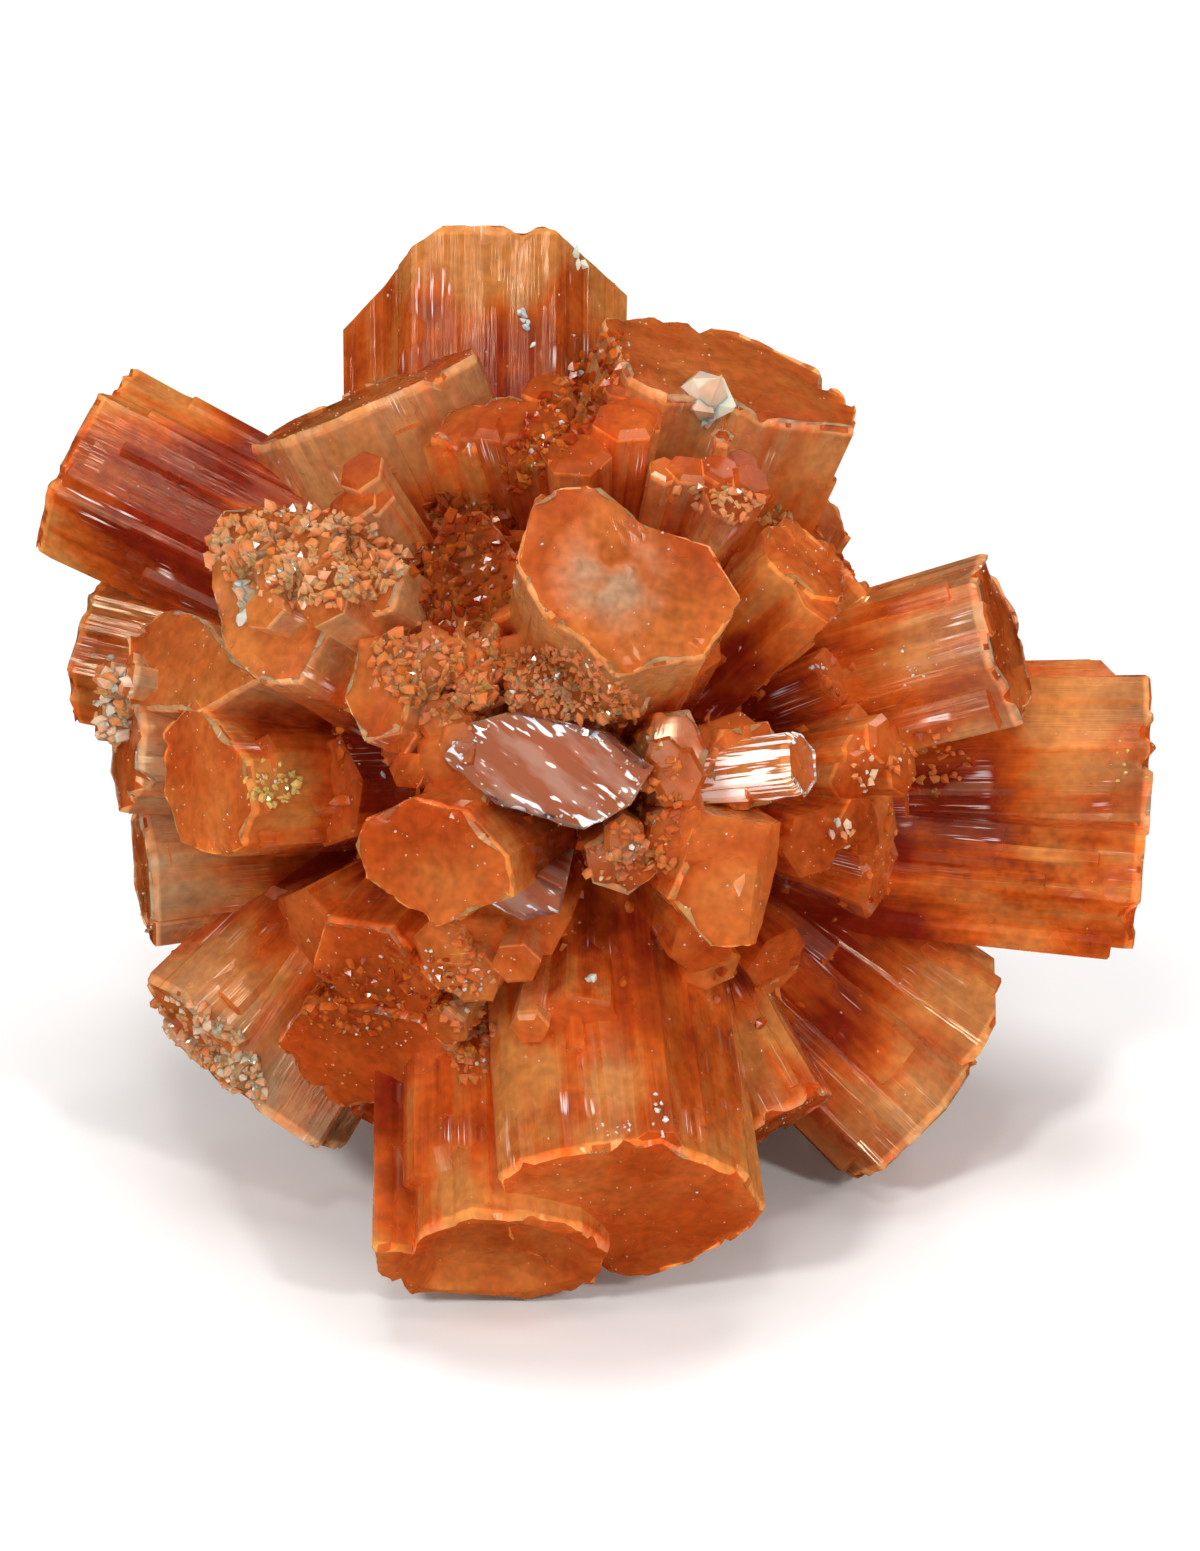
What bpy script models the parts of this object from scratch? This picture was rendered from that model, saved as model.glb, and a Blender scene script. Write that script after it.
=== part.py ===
"""Aragonite sputnik cluster: blunt six-sided crystals that grew outwards from one centre.

Lengths in the tables are millimetres. The cluster stands on the flat end of the crystal under
its centre, with the surface at z = 0 and that end centred on the origin.
"""

import math
import random

import bmesh
import bpy
from mathutils import Matrix, Vector

MM = 0.001

# Driving dimensions
centre_height = 18.0  # from the surface up to the point that the crystals grow from
display_tilt = 28.0  # degrees: the tables are drawn looking down on the cluster by this much
heart_radius = 8.5  # the solid middle where the crystals have merged
rim_width = 0.28  # the worn edge round each end face
crystal_taper = 0.8  # width at the root as a share of the width at the end
hollow_rim = 0.85  # the wall left round a hollow end face
rib_radius = (0.7, 1.3)  # thin side crystals that make the ledges on the larger ones
rib_setback = (-0.4, 3.2)  # how far a rib ends short of its crystal, or past it
rib_seat = 0.88  # where a rib's middle lies, as a share of the way out to its crystal's side
crust_root = 0.42  # where a crust crystal starts, as a share of the way out from the centre
crust_root_spread = 0.3  # how far apart those starts are, as a share of the crust's spread
crust_step = 0.6  # how unevenly the crystals of a crust end
crust_rim = 0.15  # its worn edge as a share of its width
foot_size = (12.0, 10.5)  # the flat end that the cluster rests on
foot_turn = 15.0


def hexagon(width, depth, turn=0.0, dent=0.0):
    """A six-sided section; dent pushes two of its sides in, as where twinned crystals meet."""
    points = []
    for corner in range(6):
        angle = math.radians(60 * corner + turn)
        points.append((math.cos(angle) * width / 2, math.sin(angle) * depth / math.sqrt(3)))
        if dent and corner in (0, 3):
            middle = math.radians(60 * corner + 30 + turn)
            reach = math.cos(math.radians(30)) - 2 * dent / (width + depth)
            points.append((math.cos(middle) * reach * width / 2, math.sin(middle) * reach * depth / 2))
    return points


# Sections that are not plain hexagons, drawn looking straight at the end face (right, up)
front_section = [(-4.8, 0.6), (-4.1, 3.4), (-3.1, 4.2), (-1.2, 4.3), (0.9, 2.5), (3.5, 1.7), (4.8, -0.7),
                 (3.2, -3.3), (-0.7, -4.3), (-2.0, -2.8), (-3.7, -1.6)]
shoulder_section = [(-5.5, 3.4), (-2.6, 4.8), (1.4, 5.0), (4.8, 2.8), (6.0, 0.0), (5.2, -2.7), (0.6, -3.9),
                    (-0.6, -2.7), (-3.9, -3.8), (-5.5, -2.6)]
wedge_section = [(-6.4, -1.2), (-5.2, 1.7), (-2.3, 3.2), (1.0, 2.9), (4.6, 1.2), (5.4, -1.0), (4.3, -2.6),
                 (-1.0, -3.6), (-4.0, -3.0)]
stem_section = [(-5.9, 3.6), (-5.0, 4.8), (-2.0, 5.8), (1.0, 6.2), (2.2, 4.9), (5.0, 2.2), (5.9, -0.5),
                (5.3, -2.3), (2.9, -5.0), (1.1, -6.0), (-3.0, -5.2), (-5.2, -2.0)]
cup_section = [(-5.2, 1.3), (-3.5, 1.0), (-2.9, 3.3), (-0.9, 4.9), (1.6, 4.4), (3.9, 3.0), (5.2, 0.6),
               (4.6, -3.0), (1.8, -4.8), (-0.8, -4.2), (-3.5, -3.8), (-5.0, -1.6)]
plate_section = [(-3.6, 0.7), (-3.0, 1.8), (-1.0, 2.8), (1.5, 2.3), (3.4, 0.4), (3.5, -1.4), (0.0, -2.8),
                 (-3.1, -0.8)]
tilted_plate_section = [(-5.0, -0.3), (-3.3, 2.4), (0.4, 3.4), (2.9, 3.3), (5.0, 0.8), (2.6, -0.6),
                        (-0.5, -2.8), (-2.3, -3.7), (-4.0, -2.6)]
window_section = [(-1.2, 3.5), (0.8, 2.4), (3.0, 0.8), (3.5, -1.4), (2.6, -3.0), (0.5, -3.5), (-2.0, -2.9),
                  (-3.3, -0.6), (-3.4, 2.0)]
tan_section = [(-5.1, 1.6), (-2.5, 2.5), (0.1, 1.6), (4.6, -2.0), (0.9, -3.0), (-4.2, -2.0)]
druse_section = [(-5.4, 3.0), (-4.6, 4.3), (-2.6, 4.2), (1.1, 2.9), (5.3, 0.6), (4.8, -1.4), (1.7, -2.1),
                 (0.4, -4.4), (-1.6, -4.2), (-3.9, -2.2)]
hood_section = [(-2.3, 0.9), (-1.4, 2.7), (0.2, 3.0), (2.3, 0.3), (2.0, -2.3), (-0.4, -3.4), (-2.2, -1.6)]
clear_section = [(-4.6, 0.6), (-3.4, 2.1), (-1.2, 2.6), (2.4, 1.7), (4.6, 0.2), (3.6, -1.5), (1.6, -2.6),
                 (-2.2, -1.5)]
block_section = [(-1.4, 2.9), (2.6, 2.3), (2.6, 0.4), (1.4, -2.9), (-0.9, -2.8), (-2.8, -0.6)]


class Crystal:
    """One blunt prism: the middle of its end face, its section there and the way it points.

    Each cut takes a corner off the end: its direction and slope in degrees, and how far from
    the middle of the end face it starts.
    """

    def __init__(self, name, end, section, axis=None, taper=crystal_taper, hollow=0.0, ribs=0, cuts=()):
        self.name = name
        self.end = Vector(end)
        self.section = section
        self.axis = Vector(axis or end).normalized()
        self.taper = taper
        self.hollow = hollow
        self.ribs = ribs
        self.cuts = cuts
        self.length = self.end.dot(self.axis)


# Ends are (right, up, toward the viewer) from the centre
crystals = [
    # upper side
    Crystal("crown", (-4.5, 23.3, -5.8), hexagon(12.9, 9.6, dent=0.5), axis=(0.0, 0.97, -0.24),
            taper=0.96, ribs=4, cuts=((180, 37, 1.8), (0, 26, 2.6), (95, 20, 2.0))),
    Crystal("shoulder", (6.5, 17.4, 5.4), shoulder_section, axis=(0.32, 0.86, 0.42), ribs=2),
    Crystal("wedge", (-9.1, 17.0, 1.6), wedge_section, axis=(-0.42, 0.88, 0.17), ribs=2),
    Crystal("upper_left", (-22.4, 14.2, -3.0), hexagon(9.0, 8.4, turn=12, dent=0.5),
            axis=(-0.88, 0.44, -0.12), taper=0.84, ribs=4),
    Crystal("dark_hood", (-4.8, 8.8, 14.0), hood_section, axis=(-0.27, 0.5, 0.82)),
    Crystal("front", (1.9, 8.2, 20.0), front_section, axis=(0.12, 0.34, 0.93), ribs=1),
    Crystal("fan", (9.6, 9.2, 11.5), hexagon(5.0, 4.0, turn=20), axis=(0.62, 0.62, 0.48), ribs=2),
    Crystal("behind_fan", (11.2, 9.6, 2.0), hexagon(5.0, 5.0, turn=30), axis=(0.78, 0.62, 0.05)),
    # left side
    Crystal("druse_topped", (-12.1, 8.0, 13.6), druse_section, axis=(-0.51, 0.34, 0.79)),
    Crystal("red_step", (-9.6, 5.2, 13.2), hexagon(4.8, 4.6, turn=15), axis=(-0.55, 0.28, 0.79)),
    Crystal("brown_stub", (-8.7, 3.8, 16.6), hexagon(3.4, 4.6, turn=8), axis=(-0.45, 0.18, 0.87)),
    Crystal("far_left", (-22.0, 5.8, -5.0), hexagon(7.4, 6.4, turn=25),
            axis=(-0.93, 0.22, -0.22), ribs=1),
    Crystal("tan_left", (-17.0, 5.4, 6.6), tan_section, axis=(-0.73, 0.3, 0.61)),
    Crystal("grey_tipped_left", (-20.2, 1.2, 3.2), hexagon(5.2, 5.0, turn=20),
            axis=(-0.95, 0.05, 0.3), ribs=1),
    Crystal("window_left", (-16.4, -0.1, 8.6), window_section, axis=(-0.8, 0.0, 0.6), ribs=1),
    Crystal("low_left_clear", (-19.6, -4.2, 0.6), hexagon(6.0, 5.3, turn=15),
            axis=(-0.96, -0.1, 0.18), ribs=1),
    Crystal("lower_left", (-17.2, -11.3, 1.4), hexagon(6.2, 6.0, turn=10, dent=0.3),
            axis=(-0.66, -0.68, 0.24), ribs=3),
    Crystal("bumpy_end", (-14.9, -13.9, -1.6), hexagon(11.4, 7.0, turn=15),
            axis=(-0.54, -0.80, -0.1), ribs=2),
    Crystal("tilted_plate", (-9.1, -12.4, 7.4), tilted_plate_section, axis=(-0.41, -0.68, 0.61)),
    Crystal("pitted", (-9.0, -8.8, 10.6), hexagon(7.0, 6.0, turn=5, dent=0.3),
            axis=(-0.5, -0.58, 0.64), ribs=2),
    # middle
    Crystal("clear_heart", (-1.6, 0.2, 17.6), clear_section, axis=(-0.11, -0.04, 0.99)),
    Crystal("plate", (-6.4, -3.7, 18.0), plate_section, axis=(-0.32, -0.18, 0.93)),
    Crystal("small_wedge", (-2.4, -5.2, 15.2), hexagon(3.6, 1.9, turn=20), axis=(-0.1, -0.35, 0.93)),
    Crystal("bright_stub", (8.4, 0.2, 15.4), hexagon(5.0, 2.6), axis=(0.62, -0.05, 0.78), ribs=1),
    Crystal("block", (6.3, -4.6, 16.8), block_section, axis=(0.28, -0.22, 0.93)),
    # right side
    Crystal("right_upper", (18.4, 6.0, 4.0), hexagon(7.6, 7.0, turn=30, dent=0.4),
            axis=(0.93, 0.25, 0.26), taper=0.85, ribs=4),
    Crystal("right_main", (24.8, 1.2, -2.6), hexagon(8.0, 8.0, turn=0, dent=0.4),
            axis=(0.99, 0.0, -0.1), taper=0.9, ribs=2, cuts=((90, 42, 1.5),)),
    Crystal("right_low", (24.5, -4.8, -0.6), hexagon(6.4, 5.4, turn=10),
            axis=(0.99, -0.09, 0.0), taper=0.9, ribs=2),
    Crystal("lower_right", (16.6, -12.4, -4.6), hexagon(9.0, 8.8, turn=20, dent=0.4),
            axis=(0.80, -0.58, -0.14), taper=0.86, ribs=3, cuts=((60, 35, 2.4),)),
    Crystal("lower_right_pair", (14.8, -15.4, -2.6), hexagon(7.6, 7.2),
            axis=(0.72, -0.68, -0.1), ribs=2),
    # lower side
    Crystal("stem", (2.0, -18.8, 10.8), stem_section, axis=(0.09, -0.85, 0.51), taper=0.9, ribs=2),
    Crystal("cup", (-4.0, -20.9, 9.4), cup_section,
            axis=(0.03, -0.9, 0.43), taper=0.86, hollow=0.9, ribs=2),
    # far side and underside
    Crystal("back_upper_right", (8.0, 12.5, -15.0), hexagon(9.6, 8.0, turn=10, dent=0.5), ribs=3),
    Crystal("back_upper_left", (-9.0, 11.0, -16.0), hexagon(8.6, 9.6, turn=40, dent=0.4), ribs=3),
    Crystal("back_right", (14.5, 2.4, -15.5), hexagon(8.8, 8.4, turn=0, dent=0.4), ribs=2),
    Crystal("back_left", (-16.0, 5.0, -13.0), hexagon(8.0, 8.8, turn=15), ribs=2),
    Crystal("back_middle", (0.5, 1.5, -21.5), hexagon(11.6, 9.8, turn=20, dent=0.6), ribs=4),
    Crystal("back_low_right", (12.0, -7.6, -15.0), hexagon(9.0, 8.2, turn=35, dent=0.3), ribs=2),
    Crystal("back_low_left", (-11.5, -6.6, -16.0), hexagon(8.4, 9.2, turn=5, dent=0.4), ribs=3),
    Crystal("back_crown", (2.0, 17.0, -12.5), hexagon(7.0, 6.6, turn=25), ribs=1),
    Crystal("back_low", (1.5, -9.0, -17.0), hexagon(7.2, 6.6, turn=12), ribs=1),
    Crystal("side_left", (-17.6, -1.6, -10.0), hexagon(6.6, 6.0, turn=20), ribs=1),
    Crystal("side_right", (19.0, -3.4, -9.5), hexagon(5.8, 6.4, turn=5), ribs=1),
    Crystal("under_left", (-8.6, -15.6, -1.0), hexagon(6.4, 6.0, turn=30), ribs=1),
    Crystal("under_right", (8.4, -15.4, 2.6), hexagon(6.0, 6.4, turn=10), ribs=1),
]

# Crusts of small crystals: middle, how far the crust spreads, how many, and their width
crusts = [
    ((-12.0, 9.6, 14.4), 3.4, 9, 1.5),
    ((-20.6, 3.4, 4.2), 1.6, 4, 1.5),
    ((-0.6, 15.2, 11.0), 3.0, 9, 1.5),
    ((5.4, 12.6, 13.0), 2.0, 6, 1.1),
    ((-6.0, 2.6, 16.6), 3.0, 10, 1.3),
    ((3.6, -1.4, 16.6), 2.6, 8, 1.3),
    ((-16.6, -11.8, -1.0), 3.0, 9, 1.4),
    ((12.6, -0.6, 10.6), 2.4, 6, 1.1),
    ((-4.0, -9.4, 13.4), 2.4, 6, 1.1),
    ((-2.0, 8.0, -16.0), 3.5, 8, 1.5),
    ((6.0, -4.0, -16.0), 3.5, 8, 1.5),
]


def swing(axis):
    """The turn that carries a section facing the viewer round to face along the axis."""
    return Vector((0, 0, 1)).rotation_difference(axis).to_matrix().to_4x4()


def display_to_world():
    lean = Matrix.Rotation(math.radians(90 - display_tilt), 4, "X")
    return Matrix.Translation((0, 0, centre_height * MM)) @ lean


def material(name, colour, roughness):
    made = bpy.data.materials.new(name)
    made.use_nodes = True
    shader = made.node_tree.nodes["Principled BSDF"]
    shader.inputs["Base Color"].default_value = (*colour, 1)
    shader.inputs["Roughness"].default_value = roughness
    shader.inputs["Metallic"].default_value = 0.0
    return made


def lift(bm, verts, height, scale=1.0):
    bmesh.ops.scale(bm, verts=verts, vec=(scale, scale, 1))
    bmesh.ops.translate(bm, verts=verts, vec=(0, 0, height))


def inset(bm, face, width, rise):
    bmesh.ops.inset_region(bm, faces=[face], thickness=width * MM, use_even_offset=True)
    lift(bm, face.verts[:], rise * MM)


def cut_corner(bm, length, direction, slope, reach):
    """Slice a corner off the end with a flat plane and close the cut."""
    angle = math.radians(direction)
    lean = math.radians(slope)
    start = Vector((math.cos(angle) * reach, math.sin(angle) * reach, length)) * MM
    normal = Vector((math.cos(angle) * math.sin(lean), math.sin(angle) * math.sin(lean), math.cos(lean)))
    whole = bm.verts[:] + bm.edges[:] + bm.faces[:]
    sliced = bmesh.ops.bisect_plane(bm, geom=whole, plane_co=start, plane_no=normal, clear_outer=True)
    rim = [item for item in sliced["geom_cut"] if isinstance(item, bmesh.types.BMEdge)]
    bmesh.ops.edgeloop_fill(bm, edges=rim)


def prism(name, section, length, taper, rim, hollow=0.0, cuts=()):
    """A prism from the origin up +Z, widening to its end, with a worn rim and maybe a hollow."""
    bm = bmesh.new()
    corners = [bm.verts.new((x * taper * MM, y * taper * MM, 0)) for x, y in section]
    base = bm.faces.new(corners)
    grown = bmesh.ops.extrude_face_region(bm, geom=[base])["geom"]
    end = next(item for item in grown if isinstance(item, bmesh.types.BMFace))
    lift(bm, end.verts[:], (length - rim) * MM, 1 / taper)
    inset(bm, end, rim, rim)
    if hollow:
        inset(bm, end, hollow_rim, 0)
        inset(bm, end, hollow, -hollow)
    for cut in cuts:
        cut_corner(bm, length, *cut)
    bmesh.ops.recalc_face_normals(bm, faces=bm.faces[:])
    mesh = bpy.data.meshes.new(name)
    bm.to_mesh(mesh)
    bm.free()
    return bpy.data.objects.new(name, mesh)


def on_outline(section, share):
    """The point that far round a section, as a share of the way."""
    sides = [Vector(b) - Vector(a) for a, b in zip(section, section[1:] + section[:1])]
    left = share * sum(side.length for side in sides)
    for start, side in zip(section, sides):
        if left <= side.length:
            return Vector(start) + side * (left / side.length)
        left -= side.length
    return Vector(section[0])


def body_of(crystal):
    return prism(crystal.name, crystal.section, crystal.length, crystal.taper, rim_width,
                 crystal.hollow, crystal.cuts)


def ribs_of(crystal):
    """Thin crystals bedded in the sides of a larger one, each ending at its own height."""
    rng = random.Random(crystal.name)
    for number in range(crystal.ribs):
        share = (number + rng.uniform(0.2, 0.8)) / crystal.ribs
        seat = on_outline(crystal.section, share) * rib_seat
        radius = rng.uniform(*rib_radius)
        turn = rng.uniform(0, 60)
        section = [(x + seat.x, y + seat.y) for x, y in hexagon(2 * radius, 2 * radius, turn)]
        length = crystal.length - rng.uniform(*rib_setback)
        yield prism(f"{crystal.name}_rib", section, length, crystal.taper, rim_width / 2)


def placed(obj, root, axis):
    obj.matrix_world = display_to_world() @ Matrix.Translation(root * MM) @ swing(axis)
    return obj


def crust_of(number, middle, spread, count, width):
    """Small blunt crystals that fan out of the heart and stand up as a patch, leaning apart."""
    rng = random.Random(number)
    out = Vector(middle).normalized()
    for _ in range(count):
        nudge = Vector((rng.uniform(-1, 1), rng.uniform(-1, 1), rng.uniform(-1, 1)))
        nudge -= out * nudge.dot(out)
        root = Vector(middle) * crust_root + nudge * spread * crust_root_spread
        end = Vector(middle) + nudge * spread + out * rng.uniform(-crust_step, crust_step)
        across = width * rng.uniform(0.7, 1.3)
        section = hexagon(across, across * rng.uniform(0.7, 1.0), rng.uniform(0, 60))
        small = prism("crust", section, (end - root).length, crystal_taper, across * crust_rim)
        yield placed(small, root, (end - root).normalized())


def foot():
    """The crystal under the centre, straight down, whose flat end is the resting face."""
    obj = prism("foot", hexagon(*foot_size, turn=foot_turn), centre_height, crystal_taper, rim_width)
    obj.matrix_world = Matrix.Translation((0, 0, centre_height * MM)) @ Matrix.Rotation(math.pi, 4, "X")
    return obj


def heart():
    """The lump of merged crystals that everything grows from."""
    rng = random.Random("heart")
    bm = bmesh.new()
    bmesh.ops.create_icosphere(bm, subdivisions=2, radius=heart_radius * MM)
    for vert in bm.verts:
        vert.co *= rng.uniform(0.92, 1.08)
    mesh = bpy.data.meshes.new("crystal_cluster")
    bm.to_mesh(mesh)
    bm.free()
    obj = bpy.data.objects.new("crystal_cluster", mesh)
    obj.matrix_world = display_to_world()
    return obj


def main():
    for old in list(bpy.data.objects):
        bpy.data.objects.remove(old)
    scene = bpy.context.scene.collection
    grown = bpy.data.collections.new("grown_together")
    scene.children.link(grown)
    pieces = [foot()]
    for crystal in crystals:
        root = crystal.end - crystal.axis * crystal.length
        for piece in (body_of(crystal), *ribs_of(crystal)):
            pieces.append(placed(piece, root, crystal.axis))
    for number, crust in enumerate(crusts):
        pieces.extend(crust_of(number, *crust))
    for piece in pieces:
        piece.hide_render = True
        piece.display_type = "WIRE"
        grown.objects.link(piece)
    cluster = heart()
    cluster.data.materials.append(material("aragonite", (0.42, 0.115, 0.03), 0.3))
    scene.objects.link(cluster)
    join = cluster.modifiers.new("grow together", "BOOLEAN")
    join.operation = "UNION"
    join.operand_type = "COLLECTION"
    join.collection = grown
    join.solver = "EXACT"


main()
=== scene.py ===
import bisect
import math
import random

import bmesh
import bpy
from mathutils import Matrix, Vector, noise
from mathutils.bvhtree import BVHTree


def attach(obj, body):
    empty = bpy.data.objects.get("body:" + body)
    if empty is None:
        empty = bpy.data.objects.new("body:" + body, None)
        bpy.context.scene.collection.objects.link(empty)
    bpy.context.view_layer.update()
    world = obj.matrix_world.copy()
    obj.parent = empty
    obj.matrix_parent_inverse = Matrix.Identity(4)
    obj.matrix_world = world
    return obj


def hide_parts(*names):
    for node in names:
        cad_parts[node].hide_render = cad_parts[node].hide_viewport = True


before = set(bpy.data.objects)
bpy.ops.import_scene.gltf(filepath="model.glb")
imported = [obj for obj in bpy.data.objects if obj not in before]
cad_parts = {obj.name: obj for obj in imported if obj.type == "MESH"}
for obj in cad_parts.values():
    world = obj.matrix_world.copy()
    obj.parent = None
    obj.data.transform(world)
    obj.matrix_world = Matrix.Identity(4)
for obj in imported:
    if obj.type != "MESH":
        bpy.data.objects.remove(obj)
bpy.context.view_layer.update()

mm = 0.001
print("frame loaded")

# the view that the crystals are listed in: degrees that it looks down by, and the height of its middle
# over the table in mm, which is the point that they all grow from
display = {"tilt": 28.0, "middle": 18.0}
middlePoint = Vector((0, 0, display["middle"] * mm))

scene = bpy.context.scene

# the camera, in mm
shot = {"lens": 200.0, "sensor": 36.0, "distance": 381.0, "aside": 0.66}

cameraData = bpy.data.cameras.new("camera")
cameraData.lens = shot["lens"]
cameraData.sensor_width = shot["sensor"]
cameraData.clip_start = 0.02
camera = bpy.data.objects.new("camera", cameraData)
rise = math.radians(display["tilt"])
camera.location = Vector((shot["aside"], -shot["distance"] * math.cos(rise),
                          display["middle"] + shot["distance"] * math.sin(rise))) * mm
camera.rotation_euler = (math.pi / 2 - rise, 0, 0)
scene.collection.objects.link(camera)
scene.camera = camera


# a six-sided section, with dents in two of its sides if asked
def hexagon(width, depth, turn=0.0, dent=0.0):
    points = []
    for corner in range(6):
        angle = math.radians(60 * corner + turn)
        points.append((math.cos(angle) * width / 2, math.sin(angle) * depth / math.sqrt(3)))
        if dent and corner in (0, 3):
            middle = math.radians(60 * corner + 30 + turn)
            reach = math.cos(math.radians(30)) - 2 * dent / (width + depth)
            points.append((math.cos(middle) * reach * width / 2, math.sin(middle) * reach * depth / 2))
    return points


# how every crystal is finished, in mm
growth = {
    "taper": 0.8,  # width at the root as a share of the width at the end
    "around": 0.3,  # spacing of the points round a section
    "belowTip": (0.3, 0.95, 1.7, 2.6, 3.8, 5.4, 7.6, 10.5),  # rings of points along the sides
    "inward": (0.96, 0.9, 0.81, 0.7, 0.56, 0.4, 0.2),  # rings across an end face, as shares of its radius
    "rim": 0.24,  # the worn edge round an end face
    "leastRim": 0.08,  # its least width, as a share of that
    "rimWaves": 0.7,  # waves of that width to a mm
    "chip": 1.4,
    "chipFrom": 0.2,  # how strong the chip waves are before they take anything off
    "chipWaves": 0.9,
    "chipReach": 0.9,  # how far below the tip chips go
    "chipFade": (0.8, 0.2),  # where they end on the end face, and over how much of its radius they fade
    "swell": 0.16,  # how uneven an end face is
    "swellWaves": 0.45,
    "strip": (0.45, 1.9),  # width of the flat strips on the sides
    "stripDepth": 0.08,
    "shortStrips": 0.4,  # share of the strips that end below the tip
    "short": (0.5, 6.0),  # how far below it
    "drop": (0.03, 0.12),
    "grooveWidth": 0.15,
    "grooveDepth": 0.05,
    "wave": 0.06,
    "wavesRound": 1.1,
    "wavesAlong": 0.16,
    "hollowRim": 0.85,
    "ribRadius": (0.7, 1.3),
    "ribSetback": (-0.4, 3.2),  # how far a rib ends below the tip
    "ribSeat": 0.85,  # where its middle lies, as a share of the way out to its crystal's side
    "fineRibEvery": 4.5,
    "fineRibRadius": (0.2, 0.5),
    "fineRibSeat": (0.65, 0.95),  # how far its middle lies inside the side, as a share of its radius
    "fineRibSetback": (0.1, 6.0),
    "fineRibRim": 0.07,
    "heartRadius": 8.5,
}


# a crystal, in mm in the display view: right, up and toward the viewer. end is the middle of its end
# face, tone runs from 0, pale tan, to 1, deep red, clear is how far its tip has lost its colour, axis is
# the way that it points, by default straight out of the middle, cuts are corners that are gone, and glint
# is how strong the painted glints along its sides are
def crystal(end, section, tone, clear, ribs, axis=None, **more):
    plain = {"taper": growth["taper"], "hollow": 0.0, "glint": 0.0, "cuts": ()}
    return {**plain, **more, "end": Vector(end), "section": section, "tone": tone, "clear": clear,
            "ribs": ribs, "axis": Vector(axis or end).normalized()}


# sections that aren't plain hexagons, looking straight at the end face
frontSection = [(-4.8, 0.6), (-4.1, 3.4), (-3.1, 4.2), (-1.2, 4.3), (0.9, 2.5), (3.5, 1.7), (4.8, -0.7),
                (3.2, -3.3), (-0.7, -4.3), (-2.0, -2.8), (-3.7, -1.6)]
shoulderSection = [(-5.5, 3.4), (-2.6, 4.8), (1.4, 5.0), (4.8, 2.8), (6.0, 0.0), (5.2, -2.7),
                   (0.6, -3.9), (-0.6, -2.7), (-3.9, -3.8), (-5.5, -2.6)]
wedgeSection = [(-6.4, -1.2), (-5.2, 1.7), (-2.3, 3.2), (1.0, 2.9), (4.6, 1.2), (5.4, -1.0),
                (4.3, -2.6), (-1.0, -3.6), (-4.0, -3.0)]
stemSection = [(-5.9, 3.6), (-5.0, 4.8), (-2.0, 5.8), (1.0, 6.2), (2.2, 4.9), (5.0, 2.2), (5.9, -0.5),
               (5.3, -2.3), (2.9, -5.0), (1.1, -6.0), (-3.0, -5.2), (-5.2, -2.0)]
cupSection = [(-5.2, 1.3), (-3.5, 1.0), (-2.9, 3.3), (-0.9, 4.9), (1.6, 4.4), (3.9, 3.0), (5.2, 0.6),
              (4.6, -3.0), (1.8, -4.8), (-0.8, -4.2), (-3.5, -3.8), (-5.0, -1.6)]
plateSection = [(-3.6, 0.7), (-3.0, 1.8), (-1.0, 2.8), (1.5, 2.3), (3.4, 0.4), (3.5, -1.4), (0.0, -2.8),
                (-3.1, -0.8)]
tiltedSection = [(-5.0, -0.3), (-3.3, 2.4), (0.4, 3.4), (2.9, 3.3), (5.0, 0.8), (2.6, -0.6), (-0.5, -2.8),
                 (-2.3, -3.7), (-4.0, -2.6)]
windowSection = [(-1.2, 3.5), (0.8, 2.4), (3.0, 0.8), (3.5, -1.4), (2.6, -3.0), (0.5, -3.5),
                 (-2.0, -2.9), (-3.3, -0.6), (-3.4, 2.0)]
tanSection = [(-5.1, 1.6), (-2.5, 2.5), (0.1, 1.6), (4.6, -2.0), (0.9, -3.0), (-4.2, -2.0)]
druseSection = [(-5.4, 3.0), (-4.6, 4.3), (-2.6, 4.2), (1.1, 2.9), (5.3, 0.6), (4.8, -1.4), (1.7, -2.1),
                (0.4, -4.4), (-1.6, -4.2), (-3.9, -2.2)]
hoodSection = [(-2.3, 0.9), (-1.4, 2.7), (0.2, 3.0), (2.3, 0.3), (2.0, -2.3), (-0.4, -3.4), (-2.2, -1.6)]
clearSection = [(-4.6, 0.6), (-3.4, 2.1), (-1.2, 2.6), (2.4, 1.7), (4.6, 0.2), (3.6, -1.5), (1.6, -2.6),
                (-2.2, -1.5)]
blockSection = [(-1.4, 2.9), (2.6, 2.3), (2.6, 0.4), (1.4, -2.9), (-0.9, -2.8), (-2.8, -0.6)]

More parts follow.
